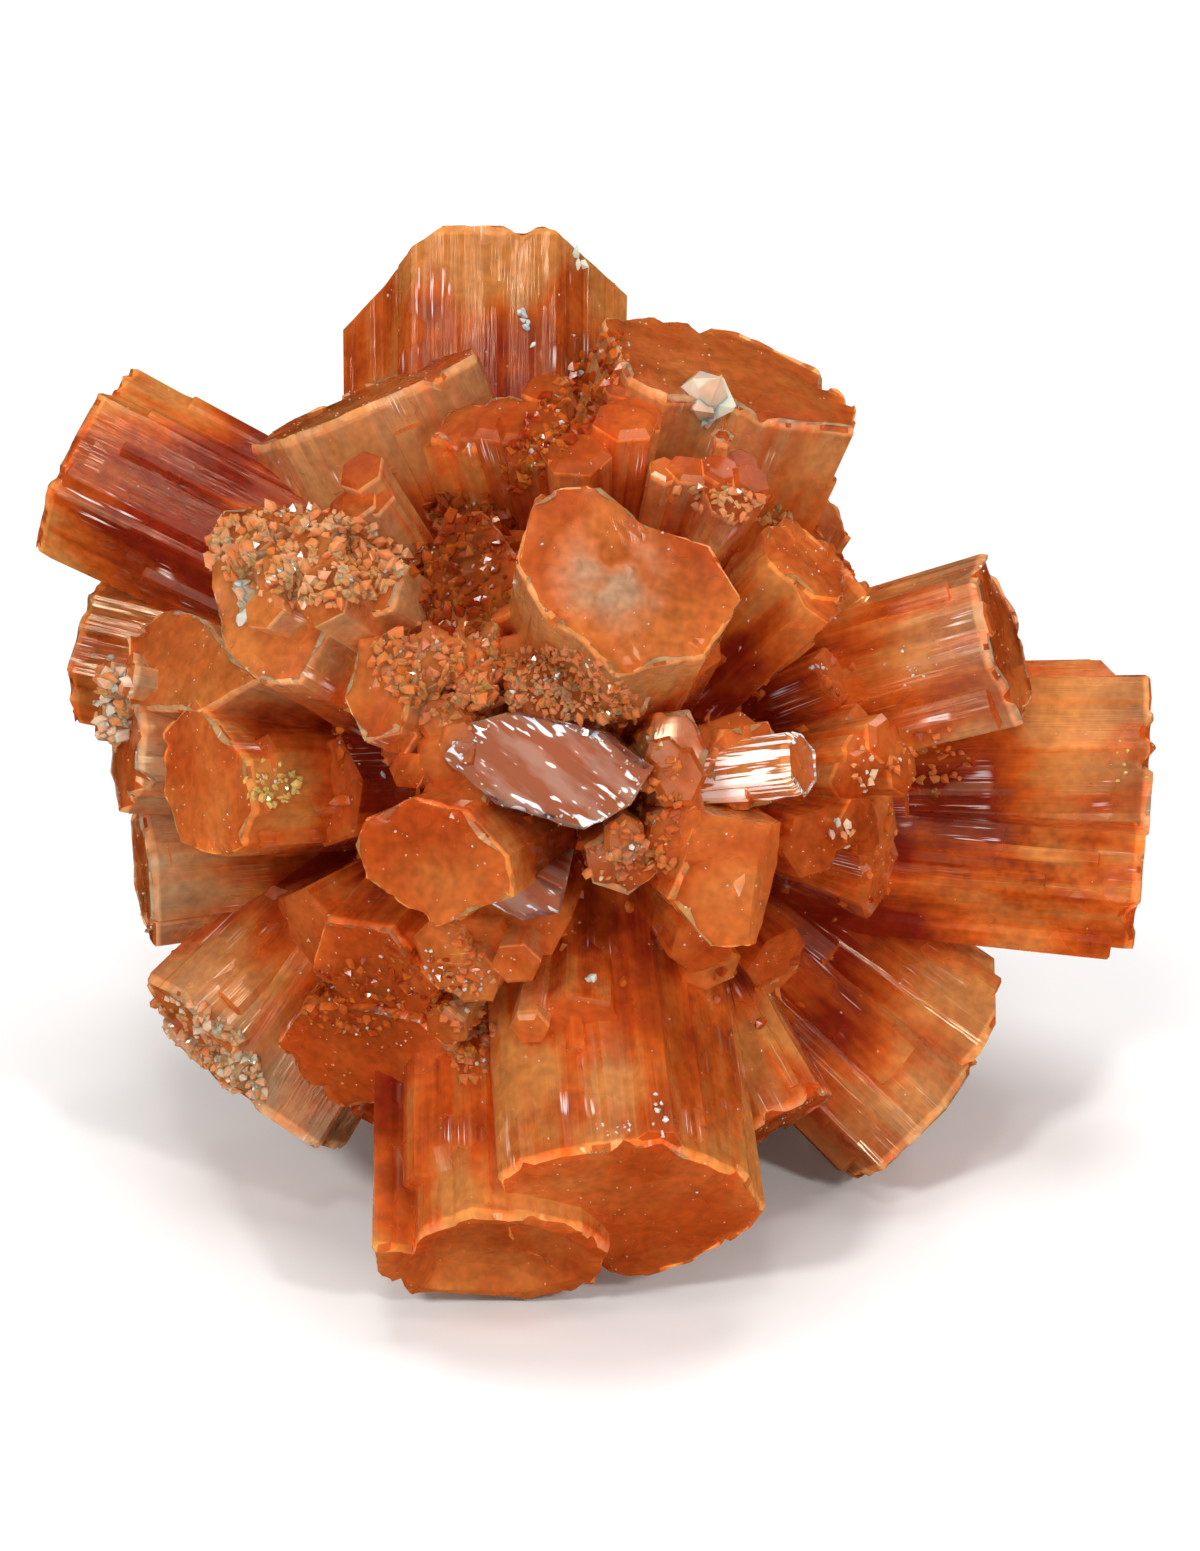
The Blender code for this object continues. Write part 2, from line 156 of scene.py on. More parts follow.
crystals = {
    "crown": crystal((-4.5, 23.3, -5.8), hexagon(12.9, 9.6, dent=0.5), 0.35, 0.0, 1, (0.0, 0.97, -0.24),
        taper=0.96, cuts=((180, 37, 1.8), (0, 26, 2.6), (95, 20, 2.0))),
    "shoulder": crystal((6.5, 17.4, 5.4), shoulderSection, 0.3, 0.4, 2, (0.32, 0.86, 0.42)),
    "wedge": crystal((-9.1, 17.0, 1.6), wedgeSection, 0.4, 0.5, 2, (-0.42, 0.88, 0.17)),
    "upper_left": crystal((-22.4, 14.2, -3.0), hexagon(9.0, 8.4, turn=12, dent=0.5), 0.75, 0.0, 2,
        (-0.88, 0.44, -0.12), taper=0.84),
    "dark_hood": crystal((-4.8, 8.8, 14.0), hoodSection, 1.1, 0.0, 0, (-0.27, 0.5, 0.82)),
    "front": crystal((1.9, 8.2, 20.0), frontSection, 0.4, 0.3, 1, (0.12, 0.34, 0.93)),
    "fan": crystal((9.6, 9.2, 11.5), hexagon(5.0, 4.0, turn=20), 0.75, 0.0, 2, (0.62, 0.62, 0.48)),
    "behind_fan": crystal((11.2, 9.6, 2.0), hexagon(5.0, 5.0, turn=30), 0.9, 0.0, 0, (0.78, 0.62, 0.05)),
    "druse_topped": crystal((-12.1, 8.0, 13.6), druseSection, 0.35, 0.5, 0, (-0.51, 0.34, 0.79)),
    "red_step": crystal((-9.6, 5.2, 13.2), hexagon(4.8, 4.6, turn=15), 0.85, 0.0, 0, (-0.55, 0.28, 0.79)),
    "brown_stub": crystal((-8.7, 3.8, 16.6), hexagon(3.4, 4.6, turn=8), 0.35, 0.5, 0, (-0.45, 0.18, 0.87)),
    "far_left": crystal((-22.0, 5.8, -5.0), hexagon(7.4, 6.4, turn=25), 0.4, 0.0, 1, (-0.93, 0.22, -0.22)),
    "tan_left": crystal((-17.0, 5.4, 6.6), tanSection, 0.15, 0.6, 0, (-0.73, 0.3, 0.61)),
    "grey_tipped_left": crystal((-20.2, 1.2, 3.2), hexagon(5.2, 5.0, turn=20), 0.5, 0.9, 1,
        (-0.95, 0.05, 0.3)),
    "window_left": crystal((-16.4, -0.1, 8.6), windowSection, 0.65, 0.0, 1, (-0.8, 0.0, 0.6)),
    "low_left_clear": crystal((-19.6, -4.2, 0.6), hexagon(6.0, 5.3, turn=15), 0.25, 1.0, 1,
        (-0.96, -0.1, 0.18)),
    "lower_left": crystal((-17.2, -11.3, 1.4), hexagon(6.2, 6.0, turn=10, dent=0.3), 0.5, 0.5, 3,
        (-0.66, -0.68, 0.24)),
    "bumpy_end": crystal((-14.9, -13.9, -1.6), hexagon(11.4, 7.0, turn=15), 0.3, 0.8, 2,
        (-0.54, -0.80, -0.1)),
    "tilted_plate": crystal((-9.1, -12.4, 7.4), tiltedSection, 0.6, 0.0, 0, (-0.41, -0.68, 0.61)),
    "pitted": crystal((-9.0, -8.8, 10.6), hexagon(7.0, 6.0, turn=5, dent=0.3), 0.9, 0.0, 2,
        (-0.5, -0.58, 0.64)),
    "plate": crystal((-6.4, -3.7, 18.0), plateSection, 0.6, 0.0, 0, (-0.32, -0.18, 0.93)),
    "bright_stub": crystal((9.3, 0.5, 15.2), hexagon(3.0, 2.6, turn=30), 0.5, 0.3, 0, (0.88, 0.1, 0.46),
        length=8.5, glint=1.0),
    "stub_foot": crystal((7.2, 0.4, 13.6), hexagon(4.6, 3.6, turn=10), 0.7, 0.0, 0, (0.55, 0.0, 0.83)),
    "under_front": crystal((0.4, 4.2, 17.0), hexagon(6.6, 3.6, turn=10), 0.45, 0.4, 1, (0.05, 0.16, 0.98)),
    "beside_hood": crystal((-5.4, 5.6, 15.6), hexagon(4.0, 3.4, turn=25), 0.7, 0.0, 1, (-0.24, 0.3, 0.92)),
    "beside_heart": crystal((3.9, 0.9, 16.2), hexagon(3.0, 3.8, turn=5), 0.4, 0.2, 0, (0.26, 0.08, 0.96)),
    "below_heart": crystal((1.6, -3.6, 16.0), hexagon(3.4, 2.8, turn=40), 0.35, 0.2, 0, (0.1, -0.22, 0.97)),
    "above_plate": crystal((-5.4, -0.4, 16.6), hexagon(3.4, 3.0, turn=12), 0.4, 0.2, 0,
        (-0.3, -0.02, 0.95)),
    "little_pillar": crystal((5.9, 14.6, 12.6), hexagon(1.1, 1.0), 0.2, 0.3, 0, (0.12, 0.84, 0.53),
        length=3.6),
    "red_slope": crystal((-4.2, 15.4, 8.2), hexagon(5.4, 4.2, turn=15), 0.6, 0.0, 1, (-0.2, 0.86, 0.46)),
    "block": crystal((6.3, -4.6, 16.8), blockSection, 0.5, 0.0, 0, (0.28, -0.22, 0.93),
        cuts=((-5, 48, 0.9), (95, 38, 1.0))),
    "right_upper": crystal((18.4, 6.0, 4.0), hexagon(7.6, 7.0, turn=30, dent=0.4), 0.6, 0.7, 4,
        (0.93, 0.25, 0.26), taper=0.85),
    "right_main": crystal((24.8, 1.2, -2.6), hexagon(8.0, 8.0, turn=0, dent=0.4), 0.25, 0.3, 2,
        (0.99, 0.0, -0.1), taper=0.9, cuts=((90, 42, 1.5),)),
    "right_low": crystal((24.5, -4.8, -0.6), hexagon(6.4, 5.4, turn=10), 0.6, 0.0, 2, (0.99, -0.09, 0.0),
        taper=0.9),
    "lower_right": crystal((16.6, -12.4, -4.6), hexagon(9.0, 8.8, turn=20, dent=0.4), 0.55, 0.2, 3,
        (0.80, -0.58, -0.14), taper=0.86, cuts=((60, 35, 2.4),)),
    "lower_right_pair": crystal((14.8, -15.4, -2.6), hexagon(7.6, 7.2), 0.5, 0.4, 2, (0.72, -0.68, -0.1)),
    "stem": crystal((2.0, -18.8, 10.8), stemSection, 0.5, 0.0, 2, (0.09, -0.85, 0.51), taper=0.9),
    "cup": crystal((-4.0, -20.9, 9.4), cupSection, 0.6, 0.0, 2, (0.03, -0.9, 0.43), taper=0.86, hollow=0.9),
    "back_upper_right": crystal((8.0, 12.5, -15.0), hexagon(9.6, 8.0, turn=10, dent=0.5), 0.4, 0.3, 3),
    "back_upper_left": crystal((-9.0, 11.0, -16.0), hexagon(8.6, 9.6, turn=40, dent=0.4), 0.5, 0.3, 3),
    "back_right": crystal((14.5, 2.4, -15.5), hexagon(8.8, 8.4, turn=0, dent=0.4), 0.6, 0.0, 2),
    "back_left": crystal((-16.0, 5.0, -13.0), hexagon(8.0, 8.8, turn=15), 0.35, 0.6, 2),
    "back_middle": crystal((0.5, 1.5, -21.5), hexagon(11.6, 9.8, turn=20, dent=0.6), 0.45, 0.3, 4),
    "back_low_right": crystal((12.0, -7.6, -15.0), hexagon(9.0, 8.2, turn=35, dent=0.3), 0.5, 0.4, 2),
    "back_low_left": crystal((-11.5, -6.6, -16.0), hexagon(8.4, 9.2, turn=5, dent=0.4), 0.65, 0.0, 3),
    "back_crown": crystal((2.0, 17.0, -12.5), hexagon(7.0, 6.6, turn=25), 0.7, 0.0, 1),
    "back_low": crystal((1.5, -9.0, -17.0), hexagon(7.2, 6.6, turn=12), 0.5, 0.0, 1),
    "side_left": crystal((-17.6, -1.6, -10.0), hexagon(6.6, 6.0, turn=20), 0.6, 0.4, 1),
    "side_right": crystal((19.0, -3.4, -9.5), hexagon(5.8, 6.4, turn=5), 0.7, 0.0, 1),
    "under_left": crystal((-8.6, -15.6, -1.0), hexagon(6.4, 6.0, turn=30), 0.8, 0.0, 1),
    "under_right": crystal((8.4, -15.4, 2.6), hexagon(6.0, 6.4, turn=10), 0.8, 0.0, 1),
}

def displayToWorld():
    lean = Matrix.Rotation(math.radians(90 - display["tilt"]), 4, "X")
    return Matrix.Translation(middlePoint) @ lean


def turnedTo(axis):
    return Vector((0, 0, 1)).rotation_difference(axis).to_matrix().to_4x4()


def placing(root, axis):
    return displayToWorld() @ Matrix.Translation(root * mm) @ turnedTo(axis)


def wave(x, y, z=0.0):
    return noise.noise(Vector((x, y, z)))


def anyWay(rng):
    return Vector((rng.uniform(-1, 1), rng.uniform(-1, 1), rng.uniform(-1, 1)))


def sidesOf(section):
    return [Vector(b) - Vector(a) for a, b in zip(section, section[1:] + section[:1])]


# the flat strips round a crystal, with where each one starts
def stripsOf(rng, around):
    strips = []
    at = 0.0
    while at < around:
        strips.append({
            "start": at,
            "inset": growth["stripDepth"] * rng.random() ** 2,
            "short": rng.uniform(*growth["short"]) if rng.random() < growth["shortStrips"] else 0.0,
            "drop": rng.uniform(*growth["drop"]),
            "seed": rng.uniform(0, 100),
        })
        at += rng.uniform(*growth["strip"])
    return strips


def insetAt(strips, starts, at, belowTip):
    index = bisect.bisect_right(starts, at) - 1
    strip = strips[index]
    following = starts[index + 1] if index + 1 < len(starts) else math.inf
    inset = strip["inset"]
    if belowTip < strip["short"]:
        inset += strip["drop"]
    edge = min(at - starts[index], following - at)
    if edge < growth["grooveWidth"]:
        inset += growth["grooveDepth"] * (1 - edge / growth["grooveWidth"])
    return inset + growth["wave"] * wave(at * growth["wavesRound"], belowTip * growth["wavesAlong"],
                                         strip["seed"])


def widen(bm, face):
    grown = bmesh.ops.extrude_face_region(bm, geom=[face, *face.edges, *face.verts])["geom"]
    return next(item for item in grown if isinstance(item, bmesh.types.BMFace))


def outward(bm):
    bmesh.ops.recalc_face_normals(bm, faces=bm.faces[:])
    if bm.calc_volume(signed=True) < 0:
        bmesh.ops.reverse_faces(bm, faces=bm.faces[:])
    return bm


# a crystal from the origin up +Z, widening to a worn, chipped end
def growCrystal(name, section, length, taper, hollow=0.0, cuts=()):
    rng = random.Random(name + " sides")
    bm = bmesh.new()
    station = bm.verts.layers.int.new("station")
    share = bm.verts.layers.float.new("share")
    face = bm.faces.new([bm.verts.new((x * mm, y * mm, 0)) for x, y in section])
    for edge in face.edges[:]:
        points = int(edge.calc_length() / mm / growth["around"])
        if points:
            bmesh.ops.subdivide_edges(bm, edges=[edge], cuts=points)
    # each point of the section, its way out and how far round it lies
    outline = []
    at = 0.0
    ring = [loop.vert for loop in face.loops]
    for number, vert in enumerate(ring):
        vert[station] = number
        vert[share] = 1.0
        following = ring[(number + 1) % len(ring)]
        along = (following.co - ring[number - 1].co).normalized()
        outline.append((vert.co.to_2d() / mm, Vector((along.y, -along.x)), at))
        at += (following.co - vert.co).length / mm
    turned = 1 if sum(point.dot(out) for point, out, _ in outline) > 0 else -1
    strips = stripsOf(rng, at)
    starts = [strip["start"] for strip in strips]
    seed = rng.uniform(0, 100)

    ridges = set()
    for number, (point, _, where) in enumerate(outline):
        atCorner = any((point - Vector(corner)).length < 0.01 for corner in section)
        if atCorner or any(abs(where - start) < growth["around"] / 2 for start in starts):
            ridges.add(number)

    def settle(verts, belowTip, scale=1.0, sink=0.0):
        onSide = scale == 1.0
        for vert in verts:
            point, out, where = outline[vert[station]]
            depth = belowTip
            if belowTip < growth["chipReach"]:
                chipping = wave(where * growth["chipWaves"], seed) - growth["chipFrom"]
                depth += max(0.0, chipping) * growth["chip"]
            spread = (taper + (1 - taper) * (length - depth) / length) * scale
            push = insetAt(strips, starts, where, belowTip) if onSide else 0.0
            if onSide and belowTip == 0.0:
                wear = 0.5 + 1.6 * wave(where * growth["rimWaves"], 7.0, seed)
                push += growth["rim"] * max(growth["leastRim"], wear)
            flat = point * spread - out * (turned * push)
            if not onSide:
                inner, fade = growth["chipFade"]
                depth *= max(0.0, (scale - inner) / fade)
                swelling = wave(flat.x * growth["swellWaves"], flat.y * growth["swellWaves"], seed)
                depth += growth["swell"] * (0.5 + swelling)
            vert.co = (flat.x * mm, flat.y * mm, (length - depth - sink) * mm)
            betweenRidges = onSide and belowTip > 0 and vert[station] not in ridges
            vert[share] = 0.0 if betweenRidges else scale

    settle(face.verts, length)
    for belowTip in [depth for depth in reversed(growth["belowTip"]) if depth < length - 1] + [0.0]:
        face = widen(bm, face)
        settle(face.verts, belowTip)
    inward = growth["inward"]
    if hollow:
        across = sum(point.length for point, _, _ in outline) / len(outline)
        inward = (1 - growth["hollowRim"] / across, 1 - (growth["hollowRim"] + hollow) / across, 0.4)
    for number, scale in enumerate(inward):
        face = widen(bm, face)
        settle(face.verts, 0.0, scale, hollow if number else 0.0)
    middle = bmesh.ops.poke(bm, faces=[face])["verts"][0]
    middle.co.z -= growth["swell"] * 0.5 * mm
    middle[share] = 0.0
    for cut in cuts:
        cutCorner(bm, length, *cut)
    return outward(bm)


# slice a corner off the end with a flat plane and close the cut
def cutCorner(bm, length, direction, slope, reach):
    angle = math.radians(direction)
    lean = math.radians(slope)
    start = Vector((math.cos(angle) * reach, math.sin(angle) * reach, length)) * mm
    normal = Vector((math.cos(angle) * math.sin(lean), math.sin(angle) * math.sin(lean), math.cos(lean)))
    whole = bm.verts[:] + bm.edges[:] + bm.faces[:]
    sliced = bmesh.ops.bisect_plane(bm, geom=whole, plane_co=start, plane_no=normal, clear_outer=True)
    rim = [item for item in sliced["geom_cut"] if isinstance(item, bmesh.types.BMEdge)]
    bmesh.ops.edgeloop_fill(bm, edges=rim)


# a small plain crystal, for ribs, crusts and fillers
def growSmall(section, length, taper, rim):
    bm = bmesh.new()
    share = bm.verts.layers.float.new("share")
    face = bm.faces.new([bm.verts.new((x * taper * mm, y * taper * mm, 0)) for x, y in section])
    face = widen(bm, face)
    bmesh.ops.scale(bm, verts=face.verts[:], vec=(1 / taper, 1 / taper, 1))
    bmesh.ops.translate(bm, verts=face.verts[:], vec=(0, 0, (length - rim) * mm))
    bmesh.ops.inset_region(bm, faces=[face], thickness=rim * mm, use_even_offset=True)
    bmesh.ops.translate(bm, verts=face.verts[:], vec=(0, 0, rim * mm))
    for vert in bm.verts:
        vert[share] = 0.0
    return outward(bm)


# what the material reads: growth is mm below the tip and mm round the crystal, tone is redness and
# clearness, ends is how far out on the end face and whether it is one, and light is painted shade and
# painted glint
def writeMaps(bm, length, across, tone, clear, offset, glint=0.0):
    share = bm.verts.layers.float["share"]
    growthMap, toneMap, endMap, lightMap = [bm.loops.layers.uv.new(name)
                                            for name in ("growth", "tone", "ends", "light")]
    for face in bm.faces:
        isEnd = 1.0 if face.normal.z > 0.6 else 0.0
        first = None
        for loop in face.loops:
            spot = loop.vert.co / mm
            angle = math.atan2(spot.y, spot.x)
            if first is None:
                first = angle
            elif abs(angle - first) > math.pi:
                angle += math.tau if angle < first else -math.tau
            loop[growthMap].uv = (length - spot.z, offset + angle * across)
            loop[toneMap].uv = (tone, clear)
            loop[endMap].uv = (loop.vert[share], isEnd)
            loop[lightMap].uv = (0.0, glint)


def asObject(bm, name, matrix=Matrix.Identity(4)):
    bm.transform(matrix)
    mesh = bpy.data.meshes.new(name)
    bm.to_mesh(mesh)
    bm.free()
    return bpy.data.objects.new(name, mesh)


# the point that far round a section, as a share of the way
def onOutline(section, share):
    sides = sidesOf(section)
    left = share * sum(side.length for side in sides)
    for start, side in zip(section, sides):
        if left <= side.length:
            return Vector(start) + side * (left / side.length)
        left -= side.length
    return Vector(section[0])


# one skin round everything that is in the list
def grownTogether(base, others):
    rest = bpy.data.collections.new("rest")
    scene.collection.children.link(rest)
    scene.collection.objects.link(base)
    for obj in others:
        rest.objects.link(obj)
    join = base.modifiers.new("grow together", "BOOLEAN")
    join.operation = "UNION"
    join.operand_type = "COLLECTION"
    join.collection = rest
    join.solver = "MANIFOLD"
    bpy.context.view_layer.update()
    mesh = bpy.data.meshes.new_from_object(base.evaluated_get(bpy.context.evaluated_depsgraph_get()))
    base.modifiers.clear()
    base.data = mesh
    for obj in others:
        bpy.data.objects.remove(obj)
    bpy.data.collections.remove(rest)
    return base


# one whole crystal: its body and the ribs along its sides
def wholeCrystal(name, spec):
    section, axis, taper = spec["section"], spec["axis"], spec["taper"]
    length = spec.get("length", spec["end"].dot(axis))
    matrix = placing(spec["end"] - axis * length, axis)
    across = sum(Vector(point).length for point in section) / len(section)
    around = sum(side.length for side in sidesOf(section))
    rng = random.Random(name + " finish")
    offset = rng.uniform(0, 200)
    made = [growCrystal(name, section, length, taper, spec["hollow"], spec["cuts"])]

    def addRib(seat, width, depth, turn, setback, rim):
        rib = [(x + seat.x, y + seat.y) for x, y in hexagon(width, depth, turn)]
        made.append(growSmall(rib, length - setback, taper, rim))

    ribs = random.Random(name)
    for number in range(spec["ribs"]):
        seat = onOutline(section, (number + ribs.uniform(0.2, 0.8)) / spec["ribs"]) * growth["ribSeat"]
        radius = ribs.uniform(*growth["ribRadius"])
        addRib(seat, 2 * radius, 2 * radius, ribs.uniform(0, 60), ribs.uniform(*growth["ribSetback"]),
               growth["rim"] / 2)
    for _ in range(0 if spec["cuts"] else int(around / growth["fineRibEvery"])):
        radius = rng.uniform(*growth["fineRibRadius"])
        seat = onOutline(section, rng.random())
        seat -= seat.normalized() * (radius * rng.uniform(*growth["fineRibSeat"]))
        addRib(seat, 2 * radius, 2.4 * radius, rng.uniform(0, 60), rng.uniform(*growth["fineRibSetback"]),
               growth["fineRibRim"])
    for bm in made:
        writeMaps(bm, length, across, spec["tone"], spec["clear"], offset, spec["glint"])
    pieces = [asObject(bm, name, matrix) for bm in made]
    return grownTogether(pieces[0], pieces[1:])


# stepped masses of small crystals: middle, how far it spreads, how many, how wide, redness and clearness
crusts = [
    ((-12.0, 9.6, 14.4), 3.4, 11, 2.4, 0.35, 0.6),
    ((-20.6, 3.4, 4.2), 1.6, 5, 1.8, 0.1, 1.0),
    ((-0.6, 15.2, 11.0), 3.0, 11, 2.6, 0.9, 0.1),
    ((5.4, 12.6, 13.0), 2.0, 7, 2.0, 0.6, 0.4),
    ((-6.0, 2.6, 16.6), 3.0, 12, 2.4, 0.5, 0.5),
    ((3.6, -1.4, 16.6), 2.6, 9, 2.2, 0.6, 0.5),
    ((-16.6, -11.8, -1.0), 3.0, 10, 2.2, 0.3, 1.0),
    ((12.6, -0.6, 10.6), 2.4, 8, 2.2, 0.9, 0.0),
    ((-4.0, -9.4, 13.4), 2.4, 8, 2.2, 0.6, 0.3),
    ((-2.0, 8.0, -16.0), 3.5, 10, 2.4, 0.6, 0.4),
    ((6.0, -4.0, -16.0), 3.5, 10, 2.4, 0.6, 0.4),
]
crust = {"root": 0.42, "rootSpread": 0.3, "step": 0.6, "rim": 0.1, "uneven": (0.7, 1.3), "flat": (0.7, 1.0)}


# small blunt crystals that fan out of the heart and stand up as a patch, leaning apart
def crustOf(number, middle, spread, count, width, tone, clear):
    rng = random.Random(number)
    out = Vector(middle).normalized()
    for _ in range(count):
        nudge = anyWay(rng)
        nudge -= out * nudge.dot(out)
        root = Vector(middle) * crust["root"] + nudge * spread * crust["rootSpread"]
        end = Vector(middle) + nudge * spread + out * rng.uniform(-crust["step"], crust["step"])
        across = width * rng.uniform(*crust["uneven"])
        section = hexagon(across, across * rng.uniform(*crust["flat"]), rng.uniform(0, 60))
        bm = growSmall(section, (end - root).length, growth["taper"], across * crust["rim"])
        writeMaps(bm, (end - root).length, across, tone + 0.2 * nudge.x, clear, 10 * nudge.y)
        yield asObject(bm, "crust", placing(root, (end - root).normalized()))


# short crystals that fill the hollows between the long ones, spread evenly all the way round
fill = {"count": 110, "reach": (12.0, 15.8), "width": (2.6, 4.8), "flat": (0.7, 1.0), "lean": 0.12,
        "frontReach": 1.2, "rim": 0.15, "tipsLost": 4.0, "tone": (0.6, 1.0)}


def fillers():
    rng = random.Random("fill")
    golden = math.pi * (3 - math.sqrt(5))
    for number in range(fill["count"]):
        up = 1 - 2 * (number + 0.5) / fill["count"]
        flat = math.sqrt(1 - up * up)
        out = Vector((flat * math.cos(golden * number), up, flat * math.sin(golden * number)))
        out = (out + anyWay(rng) * fill["lean"]).normalized()
        length = rng.uniform(*fill["reach"]) + fill["frontReach"] * max(0.0, out.z)
        width = rng.uniform(*fill["width"])
        section = hexagon(width, width * rng.uniform(*fill["flat"]), rng.uniform(0, 60))
        bm = growSmall(section, length, growth["taper"], fill["rim"])
        writeMaps(bm, length + fill["tipsLost"], width, rng.uniform(*fill["tone"]), 0.0, rng.uniform(0, 99))
        yield asObject(bm, "fill", placing(Vector(), out))


# the solid middle where the crystals have merged
def heartObject():
    rng = random.Random("heart")
    bm = bmesh.new()
    share = bm.verts.layers.float.new("share")
    bmesh.ops.create_icosphere(bm, subdivisions=2, radius=growth["heartRadius"] * mm)
    for vert in bm.verts:
        vert.co *= rng.uniform(0.92, 1.08)
        vert[share] = 1.0
    writeMaps(bm, display["middle"], 8.0, 0.9, 0.0, 0.0)
    return asObject(bm, "crystals", displayToWorld())


# the crystal that the cluster rests on
foot = {"section": hexagon(12.0, 10.5, turn=15), "across": 5.5, "tone": 0.7, "offset": 50.0}


def footObject():
    bm = growCrystal("foot", foot["section"], display["middle"], growth["taper"])
    writeMaps(bm, display["middle"], foot["across"], foot["tone"], 0.0, foot["offset"])
    return asObject(bm, "foot", Matrix.Translation(middlePoint) @ Matrix.Rotation(math.pi, 4, "X"))


# crystals of clear stone, each standing this far out of the rest
glassy = {
    "clear_heart": crystal((-1.6, 0.2, 17.6), clearSection, 0.0, 1.0, 0, (-0.11, -0.04, 0.99), stands=7.0),
    "small_wedge": crystal((-2.4, -5.2, 15.2), hexagon(3.6, 1.9, turn=20), 0.0, 1.0, 0, (-0.1, -0.35, 0.93),
        stands=5.0),
}


# the tops of the clear crystals, from where they leave the rest
def clearObject():
    bm = bmesh.new()
    for name, spec in glassy.items():
        root = spec["end"] - spec["axis"] * spec["stands"]
        top = growCrystal(name, spec["section"], spec["stands"], 0.9)
        writeMaps(top, spec["stands"], 3.0, 0.0, 1.0, 0.0)
        obj = asObject(top, name, placing(root, spec["axis"]))
        bm.from_mesh(obj.data)
        bpy.data.objects.remove(obj)
    return asObject(bm, "clearStones")


# a patch of grains: middle and spread across the display view, how many, how big, redness, where well
# below nought it turns white as a painted glint, and clearness, where 2 is golden as a painted glint. It
# can be turned, given painted shade, or a ring this blurred
def patch(at, spread, count, size, tone, clear, **more):
    plain = {"turn": 0, "shade": 0.0, "ring": None}
    return {**plain, **more, "at": at, "spread": spread, "count": count, "size": size, "tone": tone,
            "clear": clear}


patches = [
    patch((-12.4, 9.7), (4.4, 2.2), 420, (0.25, 0.9), 0.1, 0.7, turn=-5, shade=-0.1),
    patch((-20.9, 3.1), (0.9, 2.2), 60, (0.3, 0.9), -0.5, 1.0),
    patch((-0.8, 16.1), (4.4, 1.2), 220, (0.25, 0.8), 0.8, 0.0, turn=53, shade=0.1),
    patch((-5.3, 9.5), (2.4, 3.4), 240, (0.25, 0.9), 0.9, 0.0, shade=0.35),
    patch((6.6, 12.0), (2.6, 0.7), 60, (0.2, 0.7), 0.0, 0.6, turn=-15),
    patch((-6.0, 4.4), (3.6, 2.2), 300, (0.25, 0.8), 0.4, 0.4, turn=-20),
    patch((2.6, -0.9), (1.6, 3.0), 120, (0.2, 0.7), 0.5, 0.2),
    patch((11.4, -2.6), (0.6, 0.9), 9, (0.3, 0.6), -0.4, 1.0),
    patch((12.3, 0.2), (0.5, 1.1), 12, (0.3, 0.6), -0.2, 0.8),
    patch((15.3, 0.7), (2.0, 1.5), 50, (0.2, 0.6), 0.5, 0.2),
    patch((-17.0, -12.4), (3.4, 1.8), 320, (0.2, 0.7), -0.35, 1.0, turn=-40),
    patch((-5.1, -10.4), (1.2, 3.4), 110, (0.2, 0.7), 0.5, 0.4),
    patch((1.8, -3.8), (2.2, 0.9), 60, (0.2, 0.7), 0.4, 0.4),
    patch((-0.6, 3.9), (3.2, 1.6), 320, (0.2, 0.6), 0.4, 0.5, turn=-25),
    patch((-9.0, -9.6), (3.6, 1.8), 160, (0.2, 0.7), 0.8, 0.0, turn=10, shade=0.2),
    # bright chips, painted white or golden as glints
    patch((5.3, 16.4), (0.3, 0.5), 3, (2.0, 2.6), -0.8, 1.0),
    patch((-2.5, 19.9), (0.25, 1.0), 9, (0.2, 0.55), -1.4, 1.0, turn=10),
    patch((-0.2, 23.0), (0.25, 0.4), 5, (0.3, 0.6), -1.4, 1.0),
    patch((-13.9, -0.3), (1.3, 1.1), 50, (0.2, 0.55), 0.0, 2.0),
    patch((24.0, 0.6), (1.2, 1.0), 8, (0.15, 0.35), 0.0, 2.0),
    patch((-6.9, -8.0), (0.2, 1.1), 10, (0.12, 0.3), -1.2, 1.0, turn=5),
    patch((-5.2, -9.2), (0.8, 0.5), 10, (0.12, 0.35), -1.1, 1.0),
    patch((0.2, -9.0), (0.1, 0.1), 2, (0.4, 0.6), -1.2, 1.0),
    patch((3.3, -15.0), (0.3, 1.1), 9, (0.15, 0.4), -1.2, 1.0),
    patch((1.4, -15.6), (1.7, 0.3), 14, (0.1, 0.25), -1.0, 1.0, turn=8),
    patch((10.4, 4.8), (0.6, 0.15), 7, (0.12, 0.3), -1.2, 1.0, turn=10),
    patch((14.6, 5.0), (1.4, 1.0), 12, (0.08, 0.2), -1.2, 1.0, turn=20),
    patch((-15.2, 7.8), (0.3, 0.9), 6, (0.9, 1.5), -0.8, 1.0),
    patch((1.9, -3.4), (0.4, 0.5), 5, (0.2, 0.4), -1.1, 1.0),
    patch((-1.6, 0.2), (4.5, 2.4), 90, (0.05, 0.22), -0.9, 1.0, ring=0.1, turn=-3),
]

# more of them all the way round: in the valleys, and dust-fine everywhere, where many are white as
# painted sparkles
strewn = {
    "valleys": {"count": 1500, "deepest": 15.0, "size": (0.25, 0.9), "tone": (0.4, 1.0),
                "clear": (0.0, 0.0, 0.5)},
    "dust": {"count": 3400, "deepest": 45.0, "size": (0.06, 0.16), "tone": (-1.1, 0.6), "clear": (1.0,)},
}
strewnFrom = 45.0  # mm from the middle, well outside of it
